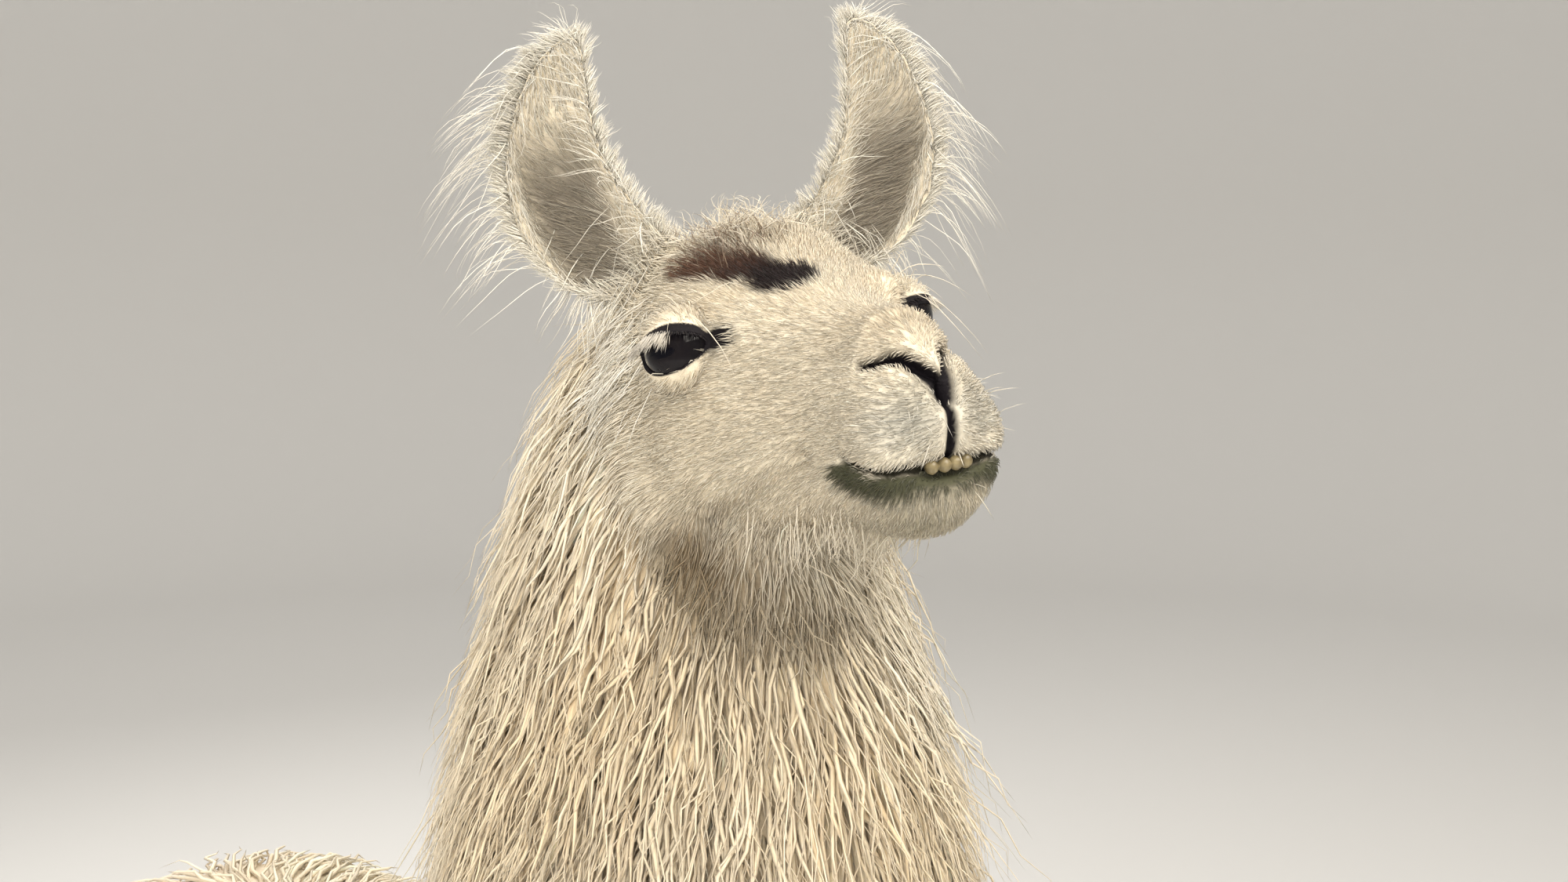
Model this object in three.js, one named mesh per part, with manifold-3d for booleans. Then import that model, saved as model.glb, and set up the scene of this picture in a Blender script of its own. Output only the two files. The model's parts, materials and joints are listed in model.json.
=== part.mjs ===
// A standing adult llama in full wool, life size, looking a little to its right.
// Millimetres, +Z up, the animal faces -Y, and its left side is +X.
// Every outline is that of the coat, out to the tips of the locks.
import * as THREE from "three";
import { mergeVertices } from "three/addons/utils/BufferGeometryUtils.js";
import Module from "manifold-3d";

const wasm = await Module();
wasm.setup();

// ---- Driving sizes -------------------------------------------------------------------
const SEAM = 0.3; // gap left between two pieces that touch
const ATLAS = { y: -338, z: 1592 }; // where the skull sits on the neck
const HEAD_TURN = { nod: -6.8, tilt: -7.7, look: -28.4 }; // degrees about X, Y and Z
const EYE = { x: 69, y: 7, z: -7, radius: 25 }; // in the head's own frame
const EAR = { x: 78, y: 84, z: 34, length: 168, width: 38, cup: 24, thickness: 16, bow: 16, flare: 30 };
const EAR_TURN = {
  left: { nod: 20, tilt: 17, look: -6 },
  right: { nod: 16, tilt: -12, look: -24 },
}; // degrees about X, Y and Z
const FRONT_FEET = { x: 122, y: -268 };
const HIND_FEET = { x: 128, y: 452 };
const TOE = { apart: 20, side: 20, length: 50, height: 40, rise: 17, y: -32 };
const NAIL = { side: 9, length: 19, height: 13, rise: 14 };
const TEETH = { y: -174, z: -91, count: 4, pitch: 6.4, tall: 9 };

// ---- Finishes --------------------------------------------------------------------------
const finish = (color, roughness) =>
  new THREE.MeshStandardMaterial({ color, roughness, metalness: 0 });
const wool = finish("#d9ccb4", 0.95);
const faceFur = finish("#e2dccb", 0.9);
const eyeGloss = finish("#0d0a10", 0.08);
const horn = finish("#3b332c", 0.55);
const enamel = finish("#cdb98a", 0.35);

// ---- Shared tools ----------------------------------------------------------------------
const { degToRad, clamp } = THREE.MathUtils;
const LATERAL = new THREE.Vector3(1, 0, 0);

// A sphere's grid as a closed surface whose point (row, turn) is placed by the caller.
function closedGrid(rows, segments, place) {
  const grid = new THREE.SphereGeometry(1, segments, rows);
  const { position, uv } = grid.attributes;
  for (let i = 0; i < position.count; i++) {
    const row = Math.round((1 - uv.getY(i)) * rows) / rows;
    const turn = i % (segments + 1) / segments;
    const p = place(row, (turn % 1) * 2 * Math.PI);
    position.setXYZ(i, p.x, p.y, p.z);
  }
  return grid;
}

// A geometry with shared corners as a manifold-3d solid, turned the right way round.
function solid(geometry, matrix) {
  const bare = geometry.clone();
  bare.deleteAttribute("normal");
  bare.deleteAttribute("uv");
  if (matrix) bare.applyMatrix4(matrix);
  const merged = mergeVertices(bare, 1e-3);
  const build = (triVerts) =>
    new wasm.Manifold(
      new wasm.Mesh({ numProp: 3, vertProperties: merged.attributes.position.array, triVerts }),
    );
  const faces = new Uint32Array(merged.index.array);
  const made = build(faces);
  return made.volume() > 0 ? made : build(faces.reverse());
}

// A finished solid as a named, faceted mesh.
function piece(name, shape, material) {
  const { vertProperties, triVerts } = shape.getMesh();
  const geometry = new THREE.BufferGeometry()
    .setAttribute("position", new THREE.BufferAttribute(new Float32Array(vertProperties), 3))
    .setIndex(new THREE.BufferAttribute(new Uint32Array(triVerts), 1));
  geometry.computeVertexNormals();
  const mesh = new THREE.Mesh(geometry, material);
  mesh.name = name;
  return mesh;
}

// Rounds a body's two ends: 0 at each tip, 1 once past the cap.
const capped = (s, first, last) => {
  const near = (t) => Math.sqrt(Math.max(0, 1 - (1 - clamp(t, 0, 1)) ** 2));
  return near(s / first) * near((1 - s) / last);
};

// A rounded body through oval stations {y, z, side, out, inn} in the plane of symmetry. Going
// along the stations, `out` is the half size to the side that LATERAL x tangent points to, and
// `inn` the one opposite. `swells` push the surface outwards round a point.
function body({ stations, caps, rows, segments, square = 2, x = 0, swells = [], grow = 0 }) {
  const keys = ["y", "z", "side", "out", "inn"];
  const spans = [0];
  stations.slice(1).forEach((s, i) => {
    spans.push(spans[i] + Math.hypot(s.y - stations[i].y, s.z - stations[i].z));
  });
  const total = spans.at(-1);
  const values = stations.flatMap((s) => keys.map((k) => s[k]));
  const through = new THREE.CubicInterpolant(spans, values, keys.length);
  const at = (s) => {
    const v = through.evaluate(clamp(s, 0, 1) * total);
    return Object.fromEntries(keys.map((k, i) => [k, v[i]]));
  };
  const power = 2 / square;
  return closedGrid(rows, segments, (row, turn) => {
    const s = 0.5 - 0.5 * Math.cos(Math.PI * row) * (1 - 0.35 * Math.sin(Math.PI * row) ** 2);
    const [before, here, after] = [at(s - 0.01), at(s), at(s + 0.01)];
    const tangent = new THREE.Vector3(0, after.y - before.y, after.z - before.z).normalize();
    const outward = LATERAL.clone().cross(tangent);
    const round = capped(s, caps[0], caps[1]);
    const across = Math.sign(Math.cos(turn)) * Math.abs(Math.cos(turn)) ** power;
    const up = Math.sign(Math.sin(turn)) * Math.abs(Math.sin(turn)) ** power;
    const tip = (row === 1) - (row === 0);
    const more = tip ? 0 : grow;
    const p = new THREE.Vector3(x, here.y, here.z)
      .addScaledVector(LATERAL, across * (round * here.side + more))
      .addScaledVector(outward, up * (round * (up > 0 ? here.out : here.inn) + more))
      .addScaledVector(tangent, grow * tip);
    const away = p.clone().sub(new THREE.Vector3(x, here.y, here.z));
    away.normalize();
    for (const { centre, spread, push } of swells) {
      const d = new THREE.Vector3(Math.abs(p.x), p.y, p.z).sub(centre).divide(spread);
      p.addScaledVector(away, push * Math.exp(-d.lengthSq()));
    }
    return p;
  });
}

const at = (x, y, z) => new THREE.Vector3(x, y, z);
const placed = (position, { nod = 0, tilt = 0, look = 0 } = {}) =>
  new THREE.Matrix4().compose(
    position,
    new THREE.Quaternion().setFromEuler(
      new THREE.Euler(degToRad(nod), degToRad(tilt), degToRad(look), "ZYX"),
    ),
    at(1, 1, 1),
  );
const ball = (centre, radii, detail = 16) =>
  new THREE.SphereGeometry(1, detail, detail / 2).scale(radii.x, radii.y, radii.z)
    .translate(centre.x, centre.y, centre.z);

// ---- Trunk, from breast to rump --------------------------------------------------------
const trunkShape = (grow = 0) =>
  body({
    stations: [
      { y: -468, z: 850, side: 100, out: 100, inn: 135 },
      { y: -400, z: 828, side: 162, out: 175, inn: 210 },
      { y: -290, z: 796, side: 214, out: 232, inn: 275 },
      { y: -100, z: 768, side: 240, out: 266, inn: 288 },
      { y: 130, z: 764, side: 248, out: 270, inn: 278 },
      { y: 340, z: 776, side: 242, out: 260, inn: 262 },
      { y: 490, z: 796, side: 206, out: 226, inn: 228 },
      { y: 612, z: 820, side: 130, out: 150, inn: 160 },
    ],
    caps: [0.08, 0.09], rows: 18, segments: 22, square: 2.25, grow,
  });

// ---- Neck: a column of wool that flares into the shoulders ---------------------------------
const neckShape = (grow = 0) =>
  body({
    stations: [
      { y: -225, z: 800, side: 195, out: 212, inn: 225 },
      { y: -270, z: 960, side: 200, out: 215, inn: 232 },
      { y: -292, z: 1120, side: 188, out: 212, inn: 226 },
      { y: -300, z: 1280, side: 164, out: 194, inn: 210 },
      { y: -306, z: 1430, side: 132, out: 146, inn: 170 },
      { y: -318, z: 1540, side: 104, out: 100, inn: 134 },
      { y: -330, z: 1640, side: 66, out: 56, inn: 78 },
    ],
    caps: [0.06, 0.08], rows: 18, segments: 22, grow,
  });

// ---- Head, in its own frame: origin midway between the eyes, nose to -Y ----------------------
const headShape = (grow = 0) =>
  body({
    stations: [
      { y: -190, z: -69, side: 16, out: 19, inn: 15 },
      { y: -177, z: -69, side: 29, out: 39, inn: 32 },
      { y: -158, z: -76, side: 38, out: 56, inn: 45 },
      { y: -125, z: -76, side: 43, out: 65, inn: 54 },
      { y: -90, z: -70, side: 49, out: 70, inn: 57 },
      { y: -50, z: -64, side: 62, out: 80, inn: 65 },
      { y: -10, z: -59, side: 78, out: 96, inn: 79 },
      { y: 30, z: -55, side: 91, out: 113, inn: 92 },
      { y: 68, z: -48, side: 97, out: 128, inn: 105 },
      { y: 104, z: -36, side: 90, out: 126, inn: 104 },
      { y: 140, z: -27, side: 62, out: 105, inn: 85 },
    ],
    caps: [0.1, 0.14], rows: 26, segments: 26, square: 2.2, grow,
    swells: [
      { centre: at(62, 4, 14), spread: at(26, 34, 24), push: 6 }, // brow over each eye
      { centre: at(62, 45, -70), spread: at(34, 42, 44), push: 8 }, // cheek
      { centre: at(10, -152, -24), spread: at(20, 24, 16), push: 9 }, // soft pad over each nostril
      { centre: at(30, -168, -78), spread: at(22, 26, 24), push: 5 }, // upper lip
      { centre: at(40, -75, -60), spread: at(24, 34, 40), push: -5 }, // hollow of the face
      { centre: at(0, -150, -122), spread: at(26, 26, 16), push: 5 }, // chin
    ],
  });

const headPlace = placed(at(0, ATLAS.y, ATLAS.z), HEAD_TURN)
  .multiply(new THREE.Matrix4().makeTranslation(0, -88, -14));

// ---- One ear: a hollow leaf that bows outwards and curls in at the tip --------------------------
function earShape(name) {
  const { length, width, cup, thickness, bow, flare } = EAR;
  const leaf = closedGrid(16, 14, (row, turn) => {
    const s = 0.5 - 0.5 * Math.cos(Math.PI * row);
    const across = Math.cos(turn);
    const half = width * (0.7 + 0.3 * Math.sin(Math.PI * Math.min(1, s * 1.1)))
      * (1 - 0.1 * s ** 3) * capped(s, 0.16, 0.15);
    const fold = cup * (1 - 0.4 * s) * capped(s, 0.16, 0.3);
    const thick = thickness * (1.25 - 0.6 * s) * capped(s, 0.06, 0.08);
    const curl = bow * Math.sin(Math.PI * s) - 30 * s ** 3;
    const root = flare * Math.max(0, 1 - s / 0.55) ** 1.3 * capped(s, 0.16, 1);
    return at(
      curl + half * across + root * Math.min(0, across),
      fold * (1 - across ** 2) + 0.5 * thick * Math.sin(turn) - 8 * s ** 2,
      length * s,
    );
  });
  const left = name === "left";
  if (!left) leaf.scale(-1, 1, 1);
  return leaf.applyMatrix4(placed(at(left ? EAR.x : -EAR.x, EAR.y, EAR.z), EAR_TURN[name]));
}

// ---- Legs ---------------------------------------------------------------------------------------
const frontLeg = [
  { y: 22, z: 735, side: 84, out: 96, inn: 100 },
  { y: 18, z: 610, side: 74, out: 84, inn: 86 },
  { y: 8, z: 490, side: 60, out: 66, inn: 66 },
  { y: 2, z: 390, side: 50, out: 52, inn: 54 },
  { y: 2, z: 325, side: 38, out: 38, inn: 40 },
  { y: 4, z: 240, side: 29, out: 31, inn: 30 },
  { y: 4, z: 150, side: 28, out: 30, inn: 29 },
  { y: 0, z: 92, side: 35, out: 36, inn: 36 },
  { y: -14, z: 38, side: 34, out: 30, inn: 34 },
];
const hindLeg = [
  { y: -74, z: 790, side: 104, out: 140, inn: 140 },
  { y: -60, z: 655, side: 98, out: 124, inn: 130 },
  { y: -24, z: 545, side: 80, out: 92, inn: 98 },
  { y: 24, z: 455, side: 60, out: 66, inn: 68 },
  { y: 46, z: 395, side: 46, out: 48, inn: 50 },
  { y: 42, z: 320, side: 34, out: 36, inn: 36 },
  { y: 30, z: 235, side: 29, out: 31, inn: 30 },
  { y: 16, z: 150, side: 28, out: 30, inn: 29 },
  { y: 4, z: 92, side: 35, out: 36, inn: 36 },
  { y: -12, z: 38, side: 34, out: 30, inn: 34 },
];
const aboveFloor = solid(new THREE.BoxGeometry(400, 400, 900).translate(0, 0, 450));

const nailShape = (half, grow) =>
  solid(
    ball(at(half * TOE.apart, TOE.y - TOE.length + 5, NAIL.rise),
      at(NAIL.side + grow, NAIL.length + grow, NAIL.height + grow), 8),
  );

// A leg with its two toes, the sole cut flat at the floor, and the nail of each toe.
function legPieces(name, stations, foot, side) {
  const toes = [-1, 1].map((half) => {
    const centre = at(half * TOE.apart, TOE.y, TOE.rise);
    return {
      half,
      pad: solid(ball(centre, at(TOE.side, TOE.length, TOE.height), 10)),
      nail: nailShape(half, 0),
      keepOut: nailShape(half, SEAM),
    };
  });
  const shank = solid(body({ stations, caps: [0.05, 0.03], rows: 16, segments: 12 }));
  const place = at(side * foot.x, foot.y, 0);
  const moved = (shape) => shape.translate([place.x, place.y, place.z]);
  const flesh = toes.reduce((leg, toe) => leg.add(toe.pad), shank).intersect(aboveFloor);
  const bare = toes.reduce((leg, toe) => leg.subtract(toe.keepOut), flesh);
  const nails = toes.map(({ half, nail }) => {
    const front = nail.intersect(aboveFloor);
    return piece(`nail_${name}_${half * side > 0 ? "outer" : "inner"}`, moved(front), horn);
  });
  return { leg: moved(bare), nails };
}

// ---- Tail, hanging over the rump ---------------------------------------------------------------
const tailShape = () =>
  body({
    stations: [
      { y: 545, z: 925, side: 42, out: 40, inn: 40 },
      { y: 612, z: 905, side: 54, out: 46, inn: 44 },
      { y: 642, z: 830, side: 60, out: 50, inn: 44 },
      { y: 644, z: 740, side: 56, out: 44, inn: 38 },
      { y: 636, z: 655, side: 34, out: 26, inn: 24 },
    ],
    caps: [0.12, 0.2], rows: 12, segments: 12,
  });

// ---- Assembly ---------------------------------------------------------------------------------------
const llama = new THREE.Group();
const head = new THREE.Group();
head.applyMatrix4(headPlace);
llama.add(head);

const eyeBall = (side, grow = 0) =>
  solid(ball(at(side * EYE.x, EYE.y, EYE.z), at(1, 1, 1).multiplyScalar(EYE.radius + grow), 16));
const sides = { left: 1, right: -1 };


// The lower front teeth, side by side in the notch between the lips.
const { y: toothY, z: toothZ, count, pitch, tall } = TEETH;
const teeth = Array.from({ length: count }, (_, i) => {
  const x = (i - (count - 1) / 2) * pitch;
  return solid(ball(at(x, toothY + 0.02 * x * x, toothZ), at(pitch * 0.62, 4.5, tall / 2), 8));
}).reduce((row, tooth) => row.add(tooth));
const notch = solid(ball(
  at(0, toothY - 6, toothZ), at(count * pitch * 0.62, 22, tall / 2 + 3), 16,
));

let skull = solid(headShape()).subtract(notch);
for (const side of Object.values(sides)) skull = skull.subtract(eyeBall(side, SEAM));
head.add(piece("head", skull, faceFur), piece("teeth_lower", teeth, enamel));

const aroundEars = solid(headShape(SEAM))
  .add(solid(neckShape(SEAM), headPlace.clone().invert()));
for (const [name, side] of Object.entries(sides)) {
  head.add(piece(`eye_${name}`, eyeBall(side), eyeGloss));
  head.add(piece(`ear_${name}`, solid(earShape(name)).subtract(aroundEars), faceFur));
}

const trunk = solid(trunkShape());
const grownTrunk = solid(trunkShape(SEAM));
const neck = solid(neckShape()).subtract(grownTrunk).subtract(solid(headShape(SEAM), headPlace));
llama.add(piece("trunk", trunk, wool));
llama.add(piece("neck", neck, wool));
llama.add(piece("tail", solid(tailShape()).subtract(grownTrunk), wool));

for (const [name, side] of Object.entries(sides)) {
  for (const [end, stations, foot] of [
    ["front", frontLeg, FRONT_FEET],
    ["hind", hindLeg, HIND_FEET],
  ]) {
    const { leg, nails } = legPieces(`${end}_${name}`, stations, foot, side);
    llama.add(piece(`leg_${end}_${name}`, leg.subtract(grownTrunk), wool), ...nails);
  }
}

// The origin is on the floor, below the middle of the animal's box.
const middle = new THREE.Box3().setFromObject(llama, true).getCenter(new THREE.Vector3());
llama.position.set(-middle.x, -middle.y, 0);

export default llama;
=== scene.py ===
# %% [markdown]
# # A woolly llama, life size
# Plain solids give the animal its size and its outline, out to the tips of the wool. This file
# turns them into an animal: one skin is drawn over them, a little inside, and thousands of
# small closed locks are rooted on that skin. Everything is in metres, and the animal faces -Y.

import json
import math
from functools import partial

import bmesh
import bpy
import numpy as np
from mathutils import Matrix, Vector
from mathutils.bvhtree import BVHTree
from mathutils.kdtree import KDTree

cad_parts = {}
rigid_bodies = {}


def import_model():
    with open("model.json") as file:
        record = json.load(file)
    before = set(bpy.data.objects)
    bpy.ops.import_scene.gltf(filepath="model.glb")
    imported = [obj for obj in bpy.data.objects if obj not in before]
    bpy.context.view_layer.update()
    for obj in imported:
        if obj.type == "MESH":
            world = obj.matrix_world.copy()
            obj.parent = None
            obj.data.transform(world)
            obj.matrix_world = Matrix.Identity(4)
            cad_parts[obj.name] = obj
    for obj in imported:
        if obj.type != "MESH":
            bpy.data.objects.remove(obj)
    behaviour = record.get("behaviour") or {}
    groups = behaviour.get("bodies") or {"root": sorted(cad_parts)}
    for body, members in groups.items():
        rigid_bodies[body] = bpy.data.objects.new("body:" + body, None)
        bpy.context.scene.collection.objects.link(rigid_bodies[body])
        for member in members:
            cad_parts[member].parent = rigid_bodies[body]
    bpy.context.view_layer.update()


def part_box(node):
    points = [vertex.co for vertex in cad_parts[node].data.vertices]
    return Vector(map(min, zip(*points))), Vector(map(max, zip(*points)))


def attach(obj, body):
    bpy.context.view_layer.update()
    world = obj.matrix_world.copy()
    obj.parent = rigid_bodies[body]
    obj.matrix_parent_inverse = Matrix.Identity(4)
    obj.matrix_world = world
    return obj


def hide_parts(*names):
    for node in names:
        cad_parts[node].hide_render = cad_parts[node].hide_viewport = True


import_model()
rng = np.random.default_rng(11)
scene = bpy.context.scene

# %% [markdown]
# ## The camera
# A camera is placed by where it stands, how far it turns from straight ahead, and its lens.
# This one stands at the animal's front right, about as high as its eyes, and looks a little down.

# %% Camera
CAMERA_AT = (-0.6909, -1.0006, 1.5932)
CAMERA_TURN = 50.0  # degrees from +Y towards +X
CAMERA_DIP = 5.29  # degrees below level
camera = bpy.data.objects.new("camera", bpy.data.cameras.new("camera"))
camera.location = CAMERA_AT
camera.rotation_euler = (math.radians(90 - CAMERA_DIP), 0, math.radians(-CAMERA_TURN))
camera.data.sensor_width = 36
camera.data.lens = 31.5
camera.data.clip_start = 0.02
scene.collection.objects.link(camera)
scene.camera = camera

# %% [markdown]
# ## The head's own directions
# The head is turned and tilted on the neck, so its features are easier to place in a frame of its
# own: X to the animal's left, Y to the back of the skull, Z up, in millimetres from the middle of
# the brow. Two eyes and the front teeth are enough to find that frame again.

# %% Head frame
EYES_AT = np.array([0.0, 7.0, -7.0])
TEETH_AT = np.array([0.0, -174.0, -91.0])


def middle(node):
    low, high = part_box(node)
    return (np.array(low) + np.array(high)) / 2


def unit(v):
    return v / np.maximum(np.linalg.norm(v, axis=-1, keepdims=True), 1e-12)


def head_frame():
    right, left, teeth = (middle(n) for n in ("eye_right", "eye_left", "teeth_lower"))
    x = unit(left - right)
    ahead = teeth - (left + right) / 2
    ahead = unit(ahead - x * (ahead @ x))
    drop = math.atan2(EYES_AT[2] - TEETH_AT[2], EYES_AT[1] - TEETH_AT[1])
    z = -(math.cos(drop) * np.cross(x, ahead) + math.sin(drop) * ahead)
    axes = np.stack([x, np.cross(z, x), z], axis=1)
    return axes, (left + right) / 2 - axes @ EYES_AT / 1000


HEAD_AXES, HEAD_AT = head_frame()


def in_head(points):
    return (np.asarray(points) - HEAD_AT) @ HEAD_AXES * 1000


def from_head(points):
    return HEAD_AT + np.asarray(points) @ HEAD_AXES.T / 1000


def folded(q):
    """Both sides of the head laid over each other, with X as the distance from the middle."""
    return np.column_stack([np.abs(q[:, 0]), q[:, 1:]])


head_turn = math.degrees(math.atan2(HEAD_AXES[1, 0], HEAD_AXES[0, 0]))
print("head turned", round(head_turn, 1), "degrees")

# %% [markdown]
# ## Floor and light
# A wide pale sheet that curves up all round gives no horizon line. The light is that of a soft day:
# a bright panel overhead and in front, a dimmer one at the animal's right, a third behind that
# lights its edges, and an even world.

# %% Floor
FLOOR_RADIUS, CURVE_RADIUS, WALL_STEP = 7.0, 2.4, 4.0
CURVE_STEPS, WALL_STEPS = 10, 2
QUARTER_TURN = math.radians(90)


def plain_material(name, color, roughness):
    material = bpy.data.materials.new(name)
    material.use_nodes = True
    shader = material.node_tree.nodes["Principled BSDF"]
    shader.inputs["Base Color"].default_value = (*color, 1)
    shader.inputs["Roughness"].default_value = roughness
    return material


def add_floor():
    bm = bmesh.new()
    bmesh.ops.create_circle(bm, cap_ends=True, segments=64, radius=FLOOR_RADIUS)
    rim = [e for e in bm.edges if e.is_boundary]
    for step in range(1, CURVE_STEPS + WALL_STEPS + 1):  # the sheet curves up into a wall
        angle = QUARTER_TURN * min(step, CURVE_STEPS) / CURVE_STEPS
        rise = CURVE_RADIUS * (1 - math.cos(angle)) + max(0, step - CURVE_STEPS) * WALL_STEP
        grown = bmesh.ops.extrude_edge_only(bm, edges=rim)["geom"]
        reach = FLOOR_RADIUS + CURVE_RADIUS * math.sin(angle)
        for v in (g for g in grown if isinstance(g, bmesh.types.BMVert)):
            flat = Vector((v.co.x, v.co.y, 0)).normalized() * reach
            v.co = (flat.x, flat.y, rise)
        rim = [g for g in grown if isinstance(g, bmesh.types.BMEdge)]
    bmesh.ops.recalc_face_normals(bm, faces=bm.faces)
    for face in bm.faces:
        face.smooth = True
    me = bpy.data.meshes.new("floor")
    bm.to_mesh(me)
    bm.free()
    floor = bpy.data.objects.new("floor", me)
    floor.data.materials.append(plain_material("pale floor", (0.70, 0.69, 0.67), 0.9))
    scene.collection.objects.link(floor)
    print("floor faces:", len(me.polygons))


add_floor()

# %% Light
OVERHEAD = 3.0  # only a panel above this height shows in the wet eye


def add_panel(name, place, aim, size, power, color):
    light = bpy.data.objects.new(name, bpy.data.lights.new(name, "AREA"))
    light.data.shape = "RECTANGLE"
    light.data.size, light.data.size_y = size
    light.data.energy = power
    light.data.color = color
    light.location = place
    light.rotation_euler = (Vector(aim) - Vector(place)).to_track_quat("-Z", "Y").to_euler()
    light.visible_glossy = place[2] > OVERHEAD
    scene.collection.objects.link(light)


add_panel("sky panel", (-0.3, -2.6, 4.0), (-0.05, -0.3, 1.3), (3.2, 2.2), 150, (1.0, 0.94, 0.85))
add_panel("side fill", (-2.7, -1.5, 2.2), (0, -0.2, 1.1), (2.2, 2.2), 88, (1.0, 0.98, 0.94))
add_panel("back rim", (1.2, 2.6, 3.0), (0, 0, 1.2), (2.0, 1.6), 55, (1.0, 0.98, 0.95))
world = bpy.data.worlds.new("soft day")
world.use_nodes = True
sky = world.node_tree.nodes["Background"].inputs
sky["Color"].default_value = (1.0, 0.98, 0.95, 1)
sky["Strength"].default_value = 0.9
scene.world = world
scene.view_settings.view_transform = "Standard"

# %% [markdown]
# ## One skin over all the flesh
# The head, neck, trunk, legs, ears and tail are separate solids with hairline gaps. Copies of them
# are swollen just enough to touch, then turned into one surface by a voxel remesh, which keeps
# only the outside. Ears need fine voxels and a flank does not, so the skin is made twice, cut on
# one level plane across the upper neck, and the two rims are bridged.

# %% Copies and voxels
CUT_LEVEL = 1.402  # height of the cut between the fine skin and the coarse one
FINE, COARSE = 0.0032, 0.014  # voxel sizes
SWELL = 0.0004  # closes the hairline gaps
WELD = 1e-5  # corners closer than this are one
LEGS = [f"leg_{end}_{side}" for end in ("front", "hind") for side in ("left", "right")]
FLESH = ["head", "neck", "trunk", "tail", "ear_left", "ear_right", *LEGS]


def swollen_copy(nodes):
    bm = bmesh.new()
    for node in nodes:
        bm.from_mesh(bpy.data.objects[node].data)
    bmesh.ops.remove_doubles(bm, verts=bm.verts, dist=WELD)
    bm.normal_update()
    for v in bm.verts:
        v.co += v.normal * SWELL
    return bm


def voxel_skin(bm, voxel):
    me = bpy.data.meshes.new("rough skin")
    bm.to_mesh(me)
    bm.free()
    rough = bpy.data.objects.new("rough skin", me)
    scene.collection.objects.link(rough)
    remesh = rough.modifiers.new("voxels", "REMESH")
    remesh.mode = "VOXEL"
    remesh.voxel_size = voxel
    out = bmesh.new()
    out.from_object(rough, bpy.context.evaluated_depsgraph_get())
    bpy.data.objects.remove(rough)
    return out


# %% Cutting and smoothing
def keep_side(bm, above):
    bmesh.ops.bisect_plane(
        bm, geom=bm.verts[:] + bm.edges[:] + bm.faces[:], dist=1e-6,
        plane_co=(0, 0, CUT_LEVEL), plane_no=(0, 0, 1), clear_inner=above, clear_outer=not above,
    )


def soften(bm, verts, rounds=1):
    for _ in range(rounds):
        bmesh.ops.smooth_vert(
            bm, verts=verts, factor=0.5, use_axis_x=True, use_axis_y=True, use_axis_z=True
        )


def skin_of(solids, voxel, above, rounds):
    """The skin of the solids on one side of the cut, smoothed everywhere but on its rim."""
    skin = voxel_skin(solids, voxel)
    keep_side(skin, above)
    soften(skin, [v for v in skin.verts if not v.is_boundary], rounds)
    return skin


# %% Places that need smaller faces
def away_from(q, centre, radii):
    return np.sqrt((((folded(q) - centre) / radii) ** 2).sum(axis=1))


def near_muzzle(q):
    return away_from(q, (0, -160, -75), (60, 62, 62)) < 1


def near_eyes(q):
    return away_from(q, (72, -4, -6), (34, 38, 32)) < 1


def near_slits(q):
    nostril = away_from(q, (16, -168, -42), (22, 26, 14)) < 1
    return nostril | (away_from(q, (14, -172, -88), (34, 28, 12)) < 1)


def refine(bm):
    for cuts, near in ((1, near_muzzle), (2, near_eyes), (1, near_slits)):
        flags = near(in_head([v.co for v in bm.verts]))
        chosen = {v for v, hit in zip(bm.verts, flags) if hit}
        edges = [e for e in bm.edges if e.verts[0] in chosen and e.verts[1] in chosen]
        bmesh.ops.subdivide_edges(bm, edges=edges, cuts=cuts, use_grid_fill=True)


# %% One skin
UPPER_PARTS = ["head", "neck", "ear_left", "ear_right", "eye_left", "eye_right"]
LOWER_PARTS = [n for n in FLESH if "ear" not in n]
PLUG_SIZE = (0.017, 0.0235, 0.009)  # half sizes of the lump that fills the mouth
PLUG_BACK = np.array([0, 8, 0])  # mm behind the teeth
SEAM_REACH, SEAM_ROUNDS = 0.03, 40  # how far from the cut the join is smoothed, and how often


def add_mouth_plug(bm):
    plug = bmesh.ops.create_uvsphere(bm, u_segments=16, v_segments=10, radius=1)["verts"]
    size = Matrix.Diagonal((*PLUG_SIZE, 1))
    turn = Matrix(HEAD_AXES.tolist()).to_4x4()
    place = Matrix.Translation(from_head(TEETH_AT + PLUG_BACK))
    bmesh.ops.transform(bm, verts=plug, matrix=place @ turn @ size)


def one_skin():
    lower = skin_of(swollen_copy(LOWER_PARTS), COARSE, above=False, rounds=10)
    solids = swollen_copy(UPPER_PARTS)
    add_mouth_plug(solids)
    upper = skin_of(solids, FINE, above=True, rounds=9)
    me = bpy.data.meshes.new("joined")
    lower.to_mesh(me)
    lower.free()
    upper.from_mesh(me)
    bpy.data.meshes.remove(me)
    bmesh.ops.bridge_loops(upper, edges=[e for e in upper.edges if e.is_boundary])
    seam = [v for v in upper.verts if abs(v.co.z - CUT_LEVEL) < SEAM_REACH]
    soften(upper, seam, SEAM_ROUNDS)
    refine(upper)
    return upper


skin_bm = one_skin()
print("skin faces:", len(skin_bm.faces), "open edges:", sum(e.is_boundary for e in skin_bm.edges))

# %% [markdown]
# ## Which part of the animal each point belongs to
# The coat is a few millimetres deep on the face and two and a half centimetres on the neck. Each
# skin point asks which solid it lies closest to, and the answers are averaged with their
# neighbours' many times over, so that every change from short to long is gradual.

# %% Points, normals and neighbours
def read_array(items, field, width, kind=float):
    """One field of every item, as the rows of an array."""
    flat = np.empty(len(items) * width, kind)
    items.foreach_get(field, flat)
    return flat.reshape(-1, width)


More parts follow.
